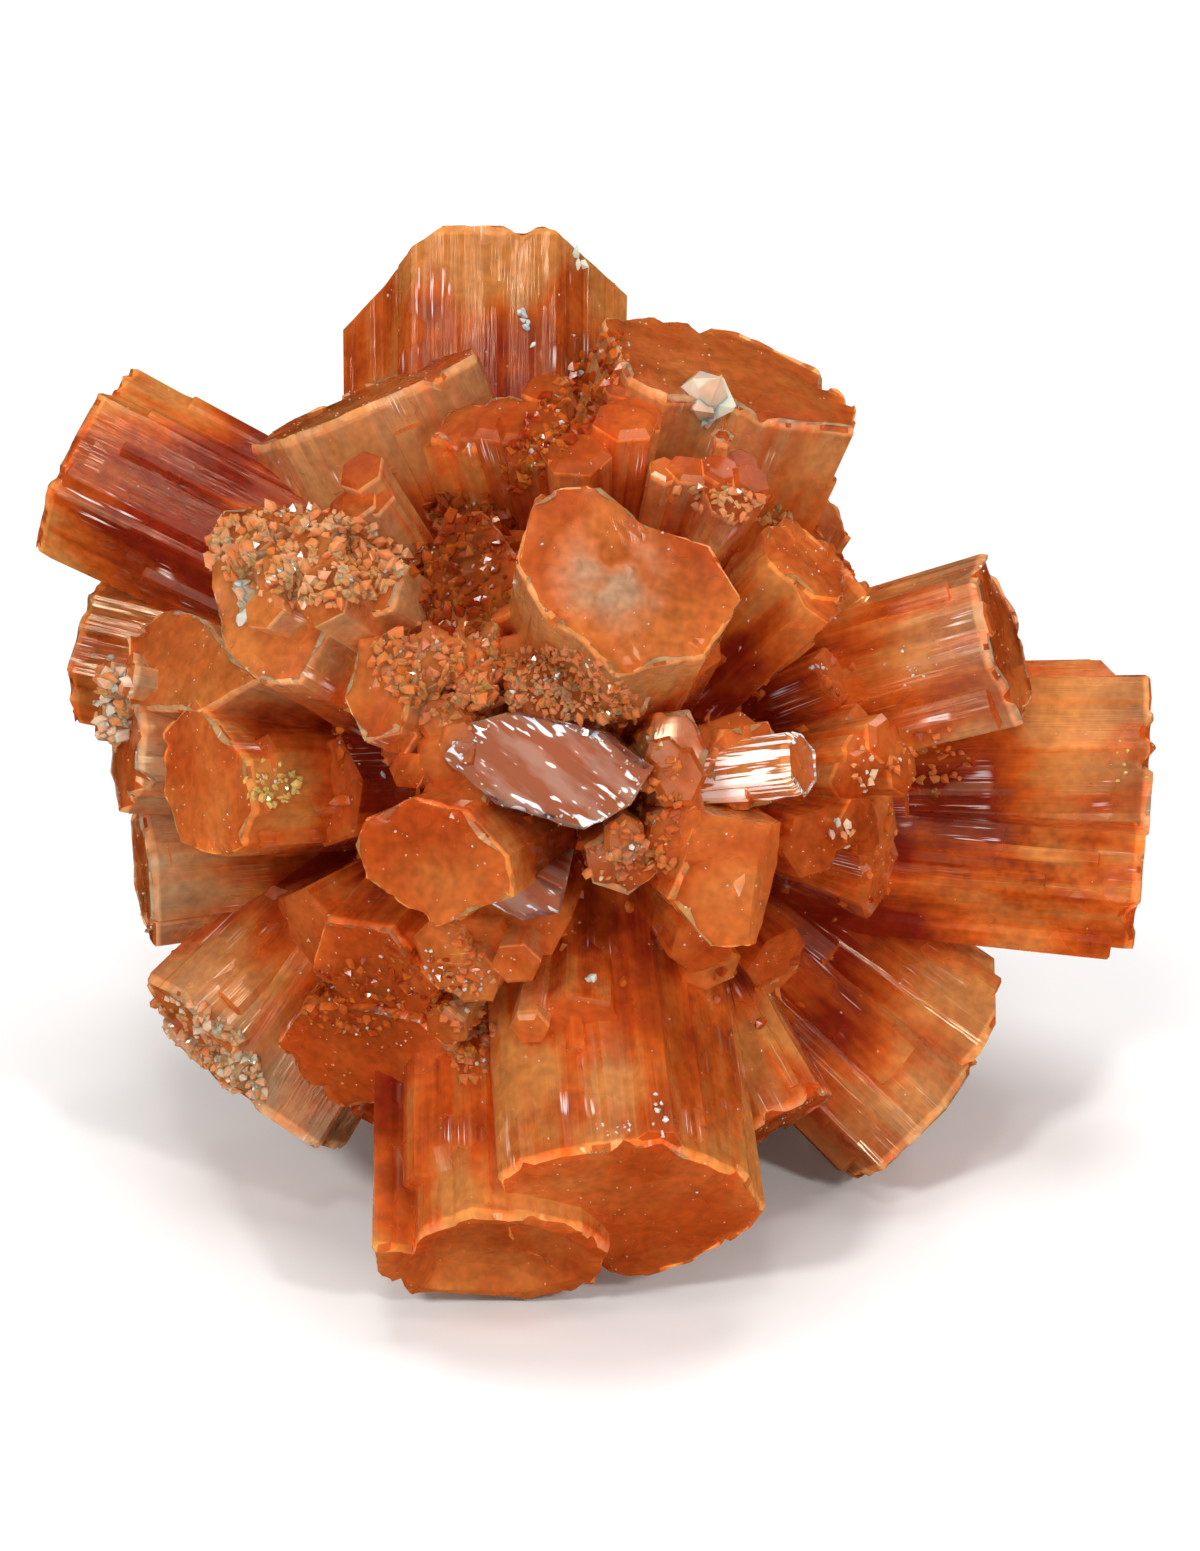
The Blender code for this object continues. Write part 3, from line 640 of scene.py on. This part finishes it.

# every grain: how uneven its points are, how far it leans, how flat and tall it is, how deep it sits as a
# share of its size, how many are small and white as painted glints, and how far redness strays
grains = {"kinds": 24, "uneven": (0.6, 1.3), "lean": 0.8, "flat": (0.6, 1.0), "tall": (0.8, 1.4),
          "sunk": 0.2, "bright": 0.05, "stray": 0.4}


# uneven grains of crystal, a mm across
def grainKinds():
    kinds = []
    rng = random.Random("grains")
    for _ in range(grains["kinds"]):
        bm = bmesh.new()
        bmesh.ops.create_icosphere(bm, subdivisions=1, radius=0.5)
        for vert in bm.verts:
            vert.co *= rng.uniform(*grains["uneven"])
        for layer in ("tone", "light"):
            bm.loops.layers.uv.new(layer)
        kinds.append(bpy.data.meshes.new("grain"))
        bm.to_mesh(kinds[-1])
        bm.free()
    return kinds


# one of them, put on a surface in the pile of all of them
def addGrain(pile, rng, spot, normal, size, tone, clear, shade):
    # a few grains are small and white, painted glints
    if rng.random() < grains["bright"]:
        size *= 0.5
        tone = -1.0
    lean = anyWay(rng) * grains["lean"]
    axis = (normal + (spot - middlePoint).normalized() + lean).normalized()
    wide, tall = rng.uniform(*grains["flat"]), rng.uniform(*grains["tall"])
    stretch = Matrix.Diagonal((size * mm, size * wide * mm, size * tall * mm, 1))
    grain = bmesh.new()
    grain.from_mesh(rng.choice(grainMeshes))
    seat = Matrix.Translation(spot - axis * size * grains["sunk"] * mm)
    turn = Matrix.Rotation(rng.uniform(0, 6), 4, "Z")
    grain.transform(seat @ turnedTo(axis) @ turn @ stretch)
    toneMap = grain.loops.layers.uv["tone"]
    lightMap = grain.loops.layers.uv["light"]
    tone += rng.uniform(-grains["stray"], grains["stray"])
    for face in grain.faces:
        for loop in face.loops:
            loop[toneMap].uv = (tone, clear)
            loop[lightMap].uv = (shade, 0.0)
    grain.to_mesh(grainMesh)
    grain.free()
    pile.from_mesh(grainMesh)


# what the view meets at a spot of the display view
def metBy(tree, at):
    target = displayToWorld() @ (Vector((*at, 0)) * mm)
    return tree.ray_cast(camera.location, (target - camera.location).normalized())[:2]


# grains on whatever the view meets inside each patch
def patchGrains(pile, tree, clearTree):
    for number, spec in enumerate(patches):
        rng = random.Random(number + 500)
        turn = Matrix.Rotation(math.radians(spec["turn"]), 2)
        for _ in range(spec["count"]):
            angle = rng.uniform(0, math.tau)
            far = rng.gauss(0.9, spec["ring"]) if spec["ring"] else math.sqrt(rng.random())
            away = Vector((math.cos(angle), math.sin(angle))) * far
            away = turn @ Vector((away.x * spec["spread"][0], away.y * spec["spread"][1]))
            at = (spec["at"][0] + away.x, spec["at"][1] + away.y)
            spot, normal = metBy(clearTree if spec["ring"] else tree, at)
            if spot:
                addGrain(pile, rng, spot, normal, rng.uniform(*spec["size"]), spec["tone"], spec["clear"],
                         spec["shade"])


# grains where a way in from outside gets deep between the long crystals, and dust everywhere, many of
# its grains white as painted sparkles
def strewGrains(pile, tree):
    for name, spec in strewn.items():
        rng = random.Random(name)
        for _ in range(spec["count"]):
            out = Vector((rng.gauss(0, 1), rng.gauss(0, 1), rng.gauss(0, 1))).normalized()
            spot, normal, _, _ = tree.ray_cast(middlePoint + out * (strewnFrom * mm), -out)
            if spot and (spot - middlePoint).length < spec["deepest"] * mm:
                addGrain(pile, rng, spot, normal, rng.uniform(*spec["size"]), rng.uniform(*spec["tone"]),
                         rng.choice(spec["clear"]), 0.0)


# painted shade, and painted light where the shade is below nought, with redder or paler stone: middle
# across the display view, radius, shade and redness
paintedShadeSpots = [
    ((-20.6, 12.0), 5.0, 0.35, 0.5),
    ((-16.0, 12.8), 4.0, 0.3, 0.4),
    ((-22.0, 6.0), 5.0, 0.4, 0.1),
    ((19.0, -3.2), 4.5, 0.3, 0.4),
    ((12.4, -2.8), 4.5, 0.4, 0.4),
    ((-5.2, 9.6), 4.0, 0.5, 0.6),
    ((-9.8, -10.2), 4.0, 0.25, 0.6),
    ((-4.0, 17.6), 4.0, 0.1, 0.8),
    ((11.6, 13.2), 3.5, 0.1, 0.4),
    ((-3.8, -12.0), 3.5, 0.1, 0.5),
    ((-4.5, 22.0), 6.0, 0.15, -0.1),
    ((21.0, 0.4), 4.0, -0.2, -0.5),
    ((-13.8, -0.2), 1.7, -0.5, -0.6),
    ((2.4, 7.6), 6.0, 0.3, 0.1),
    ((-6.4, -3.7), 4.0, 0.25, 0.1),
    ((0.4, 4.4), 3.0, 0.1, 0.1),
    ((20.5, -4.2), 4.5, 0.3, 0.6),
    ((13.5, 6.8), 4.5, -0.4, -0.6),
    ((2.8, 14.4), 3.0, -0.6, -0.9),
    ((11.4, -12.2), 6.0, -0.2, 0.0),
    ((-6.6, -16.4), 4.5, -0.1, 0.0),
    ((3.6, -19.6), 4.5, -0.15, -0.1),
    ((-0.2, 5.0), 2.0, -0.2, -0.3),
    ((-9.0, 17.0), 4.0, 0.25, 0.1),
    ((-9.8, 0.2), 3.0, 0.3, 0.9),
    ((-13.6, 2.2), 3.4, -0.05, 0.6),
    ((-9.0, 11.6), 2.4, 0.1, 0.4),
    ((6.4, 6.8), 2.4, 0.1, 0.5),
]


# soft round areas of painted shade or painted light, and of redness, on whatever the view meets in
# the middle of each
def paintShadeAndLight(obj, tree):
    spots = []
    for at, radius, shade, red in paintedShadeSpots:
        spot, _ = metBy(tree, at)
        if spot:
            spots.append((spot, radius * mm, shade, red))
    bm = bmesh.new()
    bm.from_mesh(obj.data)
    toneMap = bm.loops.layers.uv["tone"]
    lightMap = bm.loops.layers.uv["light"]
    for vert in bm.verts:
        shade = red = 0.0
        for spot, radius, dark, redder in spots:
            near = 1 - ((vert.co - spot).length / radius) ** 2
            if near > 0:
                shade += dark * near * near
                red += redder * near * near
        if shade or red:
            for loop in vert.link_loops:
                loop[toneMap].uv.x += red
                loop[lightMap].uv.x += shade
    bm.to_mesh(obj.data)
    bm.free()


parts = [wholeCrystal(name, spec) for name, spec in crystals.items()]
parts.append(footObject())
for number, spec in enumerate(crusts):
    parts.extend(crustOf(number, *spec))
parts.extend(fillers())
print("crystals grown:", len(parts))
cluster = grownTogether(heartObject(), parts)
clearStones = clearObject()
scene.collection.objects.link(clearStones)
surface, clearSurface = [BVHTree.FromObject(piece, bpy.context.evaluated_depsgraph_get())
                         for piece in (cluster, clearStones)]
print("grown together:", len(cluster.data.polygons), "faces")
grainMeshes = grainKinds()
grainMesh = bpy.data.meshes.new("grain")
pile = bmesh.new()
patchGrains(pile, surface, clearSurface)
strewGrains(pile, surface)
druse = asObject(pile, "druse")
paintShadeAndLight(cluster, surface)
print("druse strewn:", len(druse.data.polygons), "faces")

# soft light: a wide panel overhead and small bright ones for the glints, each with its place and size in
# mm, power and tint. The panel, floor and studio stay out of mirror images, which would veil every face
plainLight = (1.0, 1.0, 1.0)
warmLight = (1.0, 0.98, 0.95)
lights = {
    "overhead": ((0, 70, 700), 420, 2.3, plainLight),
    "frontLeft": ((-260, -420, 420), 90, 1.65, warmLight),
    "frontRight": ((300, -420, 360), 70, 1.1, warmLight),
    "frontTop": ((-40, -300, 560), 80, 0.35, plainLight),
    "frontLow": ((60, -600, 170), 60, 0.35, plainLight),
    "left": ((-560, -40, 300), 70, 0.25, plainLight),
    "right": ((560, 0, 280), 70, 0.35, plainLight),
    "behindRight": ((260, 380, 420), 70, 0.25, plainLight),
    "behindLeft": ((-280, 430, 330), 70, 0.2, plainLight),
}
backdrop = {"strength": 0.3, "floorRadius": 2.5, "floorColour": (0.96, 0.96, 0.96, 1),
            "floorRoughness": 0.9}

for name, (at, size, power, tint) in lights.items():
    data = bpy.data.lights.new(name, "AREA")
    data.shape = "DISK"
    data.size = size * mm
    data.energy = power
    data.color = tint
    light = bpy.data.objects.new(name, data)
    light.location = Vector(at) * mm
    light.rotation_euler = (middlePoint - light.location).to_track_quat("-Z", "Y").to_euler()
    light.visible_glossy = name != "overhead"
    scene.collection.objects.link(light)

world = bpy.data.worlds.new("studio")
world.use_nodes = True
world.node_tree.nodes["Background"].inputs["Color"].default_value = (*plainLight, 1)
world.node_tree.nodes["Background"].inputs["Strength"].default_value = backdrop["strength"]
scene.world = world
world.cycles_visibility.glossy = False
scene.view_settings.view_transform = "Standard"
scene.cycles.max_bounces = 4
scene.cycles.diffuse_bounces = 2
scene.cycles.glossy_bounces = 2
scene.cycles.transmission_bounces = 4


# small helpers for shader nodes
def newMaterial(name):
    material = bpy.data.materials.new(name)
    material.use_nodes = True
    return material, material.node_tree, material.node_tree.nodes["Principled BSDF"]


# links what comes out of a node, and sets anything else as a plain value
def feed(made, values):
    for key, value in values.items():
        if isinstance(value, bpy.types.NodeSocket):
            made.id_data.links.new(value, made.inputs[key])
        else:
            made.inputs[key].default_value = value


def node(tree, kind, inputs, **settings):
    made = tree.nodes.new("ShaderNode" + kind)
    for key, value in settings.items():
        setattr(made, key, value)
    feed(made, inputs)
    return made


def maths(tree, operation, first, second=0.0, third=0.0, clamp=False):
    return node(tree, "Math", {0: first, 1: second, 2: third}, operation=operation,
                use_clamp=clamp).outputs[0]


def multiply(tree, first, second, clamp=False):
    return maths(tree, "MULTIPLY", first, second, clamp=clamp)


def multiplyAdd(tree, first, second, third):
    return maths(tree, "MULTIPLY_ADD", first, second, third)


def larger(tree, first, second):
    return maths(tree, "MAXIMUM", first, second)


def blend(tree, share, first, second):
    colours = [colour if isinstance(colour, bpy.types.NodeSocket) else (*colour, 1)
               for colour in (first, second)]
    return node(tree, "Mix", {0: share, 6: colours[0], 7: colours[1]}, data_type="RGBA").outputs[2]


def span(tree, value, low, high, toLow=0.0, toHigh=1.0):
    return node(tree, "MapRange", {0: value, 1: low, 2: high, 3: toLow, 4: toHigh}).outputs[0]


def speckle(tree, where, scale, detail, roughness, **settings):
    return node(tree, "TexNoise", {"Vector": where, "Scale": scale, "Detail": detail,
                                   "Roughness": roughness}, **settings).outputs[0]


def brighten(tree, colour, value):
    return node(tree, "HueSaturation", {"Color": colour, "Value": value}).outputs[0]


def placeOf(tree):
    return node(tree, "TexCoord", {}).outputs["Object"]


def mapOf(tree, uvMap):
    split = node(tree, "SeparateXYZ", {0: node(tree, "UVMap", {}, uv_map=uvMap).outputs[0]})
    return split.outputs[0], split.outputs[1]


# what all three finishes set alike, with the fine relief, whose depth is in mm
def finish(tree, shader, look, height):
    strength, depth = look["relief"]
    bump = node(tree, "Bump", {"Strength": strength, "Distance": depth * mm, "Height": height}).outputs[0]
    feed(shader, {"IOR": look["ior"], "Specular IOR Level": look["gloss"], "Normal": bump,
                  "Subsurface Weight": look["subsurface"], "Subsurface Radius": look["subsurfaceRadius"],
                  "Subsurface Scale": mm})


# the banded stone. Colours are linear, and a pair after a pattern's name is the values it works between
stone = {
    "pale": (0.63, 0.225, 0.055),
    "orange": (0.64, 0.112, 0.014),
    "red": (0.30, 0.021, 0.007),
    "tip": (0.52, 0.33, 0.19),
    "cloud": (0.46, 0.25, 0.14),
    # the pale of the worn rims and ridges, partly worn stone and partly a painted highlight
    "rim": (0.78, 0.44, 0.24),
    # the white of the painted glints
    "white": (0.95, 0.92, 0.90),
    "glossTint": (1.0, 0.74, 0.52, 1),
    "ior": 1.6,
    "gloss": 0.28,
    "roughness": (0.08, 0.36),
    "through": 0.45,
    "throughEnd": 0.7,  # an end face's share of that
    "subsurface": 1.0,
    "subsurfaceRadius": (1.8, 0.6, 0.2),
    "relief": (0.3, 0.12),
    # how many to a mm along a crystal and round it, and where they start
    "streaks": {"broad": (0.1, 0.5, 3.0), "fine": (0.2, 2.4, 11.0), "striae": (0.22, 5.0, 29.0)},
    # how many to a metre, detail and roughness
    "mottles": {"patch": (150.0, 2.0, 0.55), "grit": (330.0, 2.0, 0.65), "grain": (2000.0, 1.0, 0.7)},
    # what each pattern adds to the redness of the sides
    "reddening": {"broad": (0.38, 0.62, 0.36), "fine": (0.35, 0.65, 0.16), "patch": (0.36, 0.64, 0.7),
                  "grit": (0.3, 0.7, 0.45)},
    "rootRed": (1.0, 11.0, -0.1, 0.65),  # mm below the tip, and the redness at each
    # near the heart this redness is partly painted shade in the crevices
    "heartRedAndShade": (15.0, 7.0, 0.0, 0.45),  # mm from the middle, and the redness at each
    "toneRed": 0.55,
    "endToneRed": 0.5,
    "endDeepRed": 0.45,
    "tipLength": (4.5, 0.3),
    "tipBlend": 0.8,
    "tipThrough": 0.3,  # how much clearer a tip is
    "cloudAt": (1.2, 8.4, 19.9),
    "cloudRadius": 3.0,
    "shading": -0.85,
    "uneven": (0.83, 1.16),
    "rimWidth": (0.35, 0.1),
    "edgeHighlightBlend": 0.25,
    "solidTip": (0.5, 0.2),
    "glintLines": (0.51, 0.54),
    "dashes": (0.6, 0.68),
    "dashBlend": 0.7,
}


def stoneMaterial(name):
    material, tree, shader = newMaterial(name)
    belowTip, around = mapOf(tree, "growth")
    tone, clear = mapOf(tree, "tone")
    radial, isEnd = mapOf(tree, "ends")
    shade, glint = mapOf(tree, "light")
    isSide = maths(tree, "SUBTRACT", 1.0, isEnd)
    place = placeOf(tree)

    def streaks(along, across, start):
        where = node(tree, "CombineXYZ", {0: multiplyAdd(tree, belowTip, along, start),
                                          1: multiply(tree, around, across)}).outputs[0]
        return speckle(tree, where, 1.0, 2.0, 0.6, noise_dimensions="2D")

    def apart(spot):
        return node(tree, "VectorMath", {0: place, 1: spot}, operation="DISTANCE").outputs["Value"]

    patterns = {key: streaks(*spec) for key, spec in stone["streaks"].items()}
    patterns.update({key: speckle(tree, place, *spec) for key, spec in stone["mottles"].items()})
    patch, grit, striae = patterns["patch"], patterns["grit"], patterns["striae"]

    # redder toward the root, in dark crystals and in the darker streaks, and redder and darker toward the
    # heart, which is partly painted shade in the crevices there
    fromHeart = apart(middlePoint)
    outer, inner, least, most = stone["heartRedAndShade"]
    redness = maths(tree, "ADD", span(tree, belowTip, *stone["rootRed"]),
                    span(tree, fromHeart, outer * mm, inner * mm, least, most))
    redness = multiplyAdd(tree, tone, stone["toneRed"], redness)
    for key, (low, high, much) in stone["reddening"].items():
        redness = multiplyAdd(tree, span(tree, patterns[key], low, high, -0.5, 0.5), much, redness)
    sideColour = blend(tree, span(tree, redness, 0.05, 0.5), stone["pale"], stone["orange"])
    sideColour = blend(tree, span(tree, redness, 0.5, 1.1), sideColour, stone["red"])
    # grey-tan, clearer stone at the tip
    tipShare = multiply(tree, span(tree, belowTip, *stone["tipLength"]), clear)
    tipShare = multiply(tree, tipShare, span(tree, patterns["broad"], 0.3, 0.6, 1.3, 0.5), clamp=True)
    sideColour = blend(tree, multiply(tree, tipShare, stone["tipBlend"]), sideColour, stone["tip"])
    # end faces: an even brown-orange, and a cloudy middle on the one at the front
    fromCloud = apart(displayToWorld() @ (Vector(stone["cloudAt"]) * mm))
    cloudy = multiply(tree, span(tree, fromCloud, stone["cloudRadius"] * mm, 0.0),
                      span(tree, grit, 0.4, 0.6, 0.0, 1.6), clamp=True)
    endRed = multiplyAdd(tree, tone, stone["endToneRed"], span(tree, patch, 0.35, 0.65, 0.15, 0.75))
    endRed = maths(tree, "ADD", endRed, span(tree, grit, 0.3, 0.7, -0.2, 0.2), clamp=True)
    endColour = blend(tree, endRed, stone["pale"], stone["orange"])
    endColour = blend(tree, multiply(tree, endRed, stone["endDeepRed"]), endColour, stone["red"])
    endColour = blend(tree, cloudy, endColour, stone["cloud"])
    colour = blend(tree, isEnd, sideColour, endColour)
    # painted shade darkens it and painted light, where the shade is below nought, lightens it, and it
    # is a little uneven all over
    uneven = span(tree, patterns["grain"], 0.3, 0.7, *stone["uneven"])
    colour = brighten(tree, colour, multiplyAdd(tree, shade, stone["shading"], uneven))
    # a thin pale line along the worn rim, partly worn stone and partly a painted highlight, and
    # painted highlights here and there along the ridges of the sides
    rimWearAndHighlight = multiply(tree, span(tree, belowTip, *stone["rimWidth"]), span(tree, grit, 0.46, 0.62))
    ridgeHighlight = multiply(tree, span(tree, radial, 0.55, 0.95), span(tree, grit, 0.56, 0.64))
    ridgeHighlight = multiply(tree, ridgeHighlight, span(tree, fromHeart, 9 * mm, 15 * mm))
    edges = multiply(tree, larger(tree, rimWearAndHighlight, ridgeHighlight), isSide)
    colour = blend(tree, multiply(tree, edges, stone["edgeHighlightBlend"]), colour, stone["rim"])
    # painted glints: bright lines along the sides, and short dashes of them elsewhere
    lines = multiply(tree, glint, span(tree, patterns["fine"], *stone["glintLines"]))
    dashes = multiply(tree, span(tree, striae, *stone["dashes"]), span(tree, grit, *stone["dashes"]))
    dashes = multiply(tree, dashes, stone["dashBlend"])
    glinting = multiply(tree, larger(tree, lines, dashes), isSide, clamp=True)
    colour = blend(tree, glinting, colour, stone["white"])
    # light comes through it, but not at the cloud, the painted glints and the worn tips with their
    # painted highlight
    through = multiplyAdd(tree, tipShare, stone["tipThrough"], stone["through"])
    through = multiply(tree, through, span(tree, isEnd, 0.0, 1.0, 1.0, stone["throughEnd"]))
    through = multiply(tree, through, span(tree, patch, 0.35, 0.6, 0.5, 1.0))
    nearTip = multiply(tree, span(tree, belowTip, *stone["solidTip"]), isSide)
    solid = larger(tree, larger(tree, cloudy, glinting), nearTip)
    feed(shader, {
        "Base Color": colour,
        "Roughness": span(tree, grit, 0.3, 0.7, *stone["roughness"]),
        "Specular Tint": stone["glossTint"],
        "Transmission Weight": maths(tree, "SUBTRACT", through, solid, clamp=True),
    })
    shader.subsurface_method = "BURLEY"  # much quicker
    # fine lengthwise striation on the sides
    finish(tree, shader, stone, multiply(tree, striae, isSide))
    return material


# the same stone as small grains, which show less of its depth
crumb = {
    "pale": (0.84, 0.30, 0.09),
    "orange": (0.80, 0.17, 0.02),
    "red": (0.36, 0.03, 0.003),
    "tip": (0.90, 0.42, 0.23),
    # white and gold for grains that stand as painted glints
    "white": (1.0, 0.90, 0.77),
    "gold": (1.0, 0.55, 0.16),
    "grit": (700.0, 2.0, 0.6),  # how many to a metre, detail and roughness
    "toneRed": 0.6,
    "gritRed": (-0.05, 0.5),
    "whiteTone": (-0.4, -1.0),
    "goldClear": (1.0, 2.0),
    "uneven": (0.85, 1.1),
    "roughness": 0.15,
    "ior": 1.6,
    "gloss": 0.5,
    "through": 0.2,
    "subsurface": 0.8,
    "subsurfaceRadius": (0.4, 0.16, 0.08),
    "relief": (0.3, 0.1),
}


def crumbMaterial(name):
    material, tree, shader = newMaterial(name)
    tone, clear = mapOf(tree, "tone")
    shade, _ = mapOf(tree, "light")
    grit = speckle(tree, placeOf(tree), *crumb["grit"])
    redness = multiplyAdd(tree, tone, crumb["toneRed"], span(tree, grit, 0.3, 0.7, *crumb["gritRed"]))
    colour = blend(tree, span(tree, redness, 0.0, 0.45), crumb["pale"], crumb["orange"])
    colour = blend(tree, span(tree, redness, 0.45, 1.0), colour, crumb["red"])
    tipShare = multiply(tree, clear, span(tree, grit, 0.4, 0.6, 0.1, 0.9), clamp=True)
    colour = blend(tree, tipShare, colour, crumb["tip"])
    # painted glints: golden grains where clear is over 1, white ones where tone is well below nought
    colour = blend(tree, span(tree, clear, *crumb["goldClear"]), colour, crumb["gold"])
    colour = blend(tree, span(tree, tone, *crumb["whiteTone"]), colour, crumb["white"])
    # painted shade darkens the grains, and they are a little uneven
    value = multiplyAdd(tree, shade, -1.0, span(tree, grit, 0.3, 0.7, *crumb["uneven"]))
    feed(shader, {
        "Base Color": brighten(tree, colour, value),
        "Roughness": crumb["roughness"],
        "Transmission Weight": crumb["through"],
    })
    finish(tree, shader, crumb, grit)
    return material


# clear stone: the colour of what lies under it, with white dashes, painted glints, that thicken toward the
# rim
clearStone = {
    "colour": (0.70, 0.24, 0.12),
    "veil": (0.88, 0.48, 0.36),
    "dash": (0.96, 0.93, 0.97),
    "dashAlong": (0.8, -0.6, 0.0),
    "drawnOut": -0.75,
    "veils": (900.0, 3.0, 0.6),  # how many to a metre, detail and roughness
    "dashes": (3600.0, 1.0, 0.5),
    "veilsFrom": (0.46, 0.6),
    "dashesFrom": (0.67, 0.71),
    "moreAtRim": 0.13,
    "through": 0.55,
    "gloss": 0.4,
    "roughness": 0.08,
    "ior": 1.6,
    "subsurface": 1.0,
    "subsurfaceRadius": (1.8, 0.9, 0.6),
    "relief": (0.4, 0.12),
    "depthColour": (1.0, 0.66, 0.42, 1),
    "density": 60.0,
}


def clearMaterial(name):
    material, tree, shader = newMaterial(name)
    place = placeOf(tree)
    radial, isEnd = mapOf(tree, "ends")
    # patterns drawn out along one way
    along = displayToWorld() @ Vector(clearStone["dashAlong"])
    distance = node(tree, "VectorMath", {0: place, 1: along}, operation="DOT_PRODUCT").outputs["Value"]
    drawn = node(tree, "VectorMath", {0: along, 3: multiply(tree, distance, clearStone["drawnOut"])},
                 operation="SCALE").outputs[0]
    drawn = node(tree, "VectorMath", {0: place, 1: drawn}, operation="ADD").outputs[0]
    veils = speckle(tree, drawn, *clearStone["veils"])
    dashes = speckle(tree, drawn, *clearStone["dashes"])
    colour = blend(tree, span(tree, veils, *clearStone["veilsFrom"]), clearStone["colour"],
                   clearStone["veil"])
    nearRim = multiply(tree, span(tree, radial, 0.5, 0.95, 0.0, clearStone["moreAtRim"]), isEnd)
    dashed = span(tree, maths(tree, "ADD", dashes, nearRim), *clearStone["dashesFrom"])
    feed(shader, {
        "Base Color": blend(tree, dashed, colour, clearStone["dash"]),
        "Roughness": clearStone["roughness"],
        "Transmission Weight": multiplyAdd(tree, dashed, -clearStone["through"], clearStone["through"]),
    })
    finish(tree, shader, clearStone, veils)
    inside = node(tree, "VolumeAbsorption", {"Color": clearStone["depthColour"],
                                             "Density": clearStone["density"]})
    feed(tree.nodes["Material Output"], {"Volume": inside.outputs[0]})
    return material


finishes = {
    cluster: stoneMaterial("bandedStone"),
    druse: crumbMaterial("crumbledStone"),
    clearStones: clearMaterial("clearStone"),
}
for piece, material in finishes.items():
    piece.data.materials.clear()
    piece.data.materials.append(material)
    if piece.name not in scene.collection.objects:
        scene.collection.objects.link(piece)
    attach(piece, "root")
    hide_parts("crystal_cluster")

floorMesh = bmesh.new()
bmesh.ops.create_circle(floorMesh, cap_ends=True, segments=64, radius=backdrop["floorRadius"])
floor = asObject(floorMesh, "floor")
floorMaterial, _, floorShader = newMaterial("paper")
feed(floorShader, {"Base Color": backdrop["floorColour"], "Roughness": backdrop["floorRoughness"]})
floor.data.materials.append(floorMaterial)
floor.visible_glossy = False
scene.collection.objects.link(floor)
print("dressed")
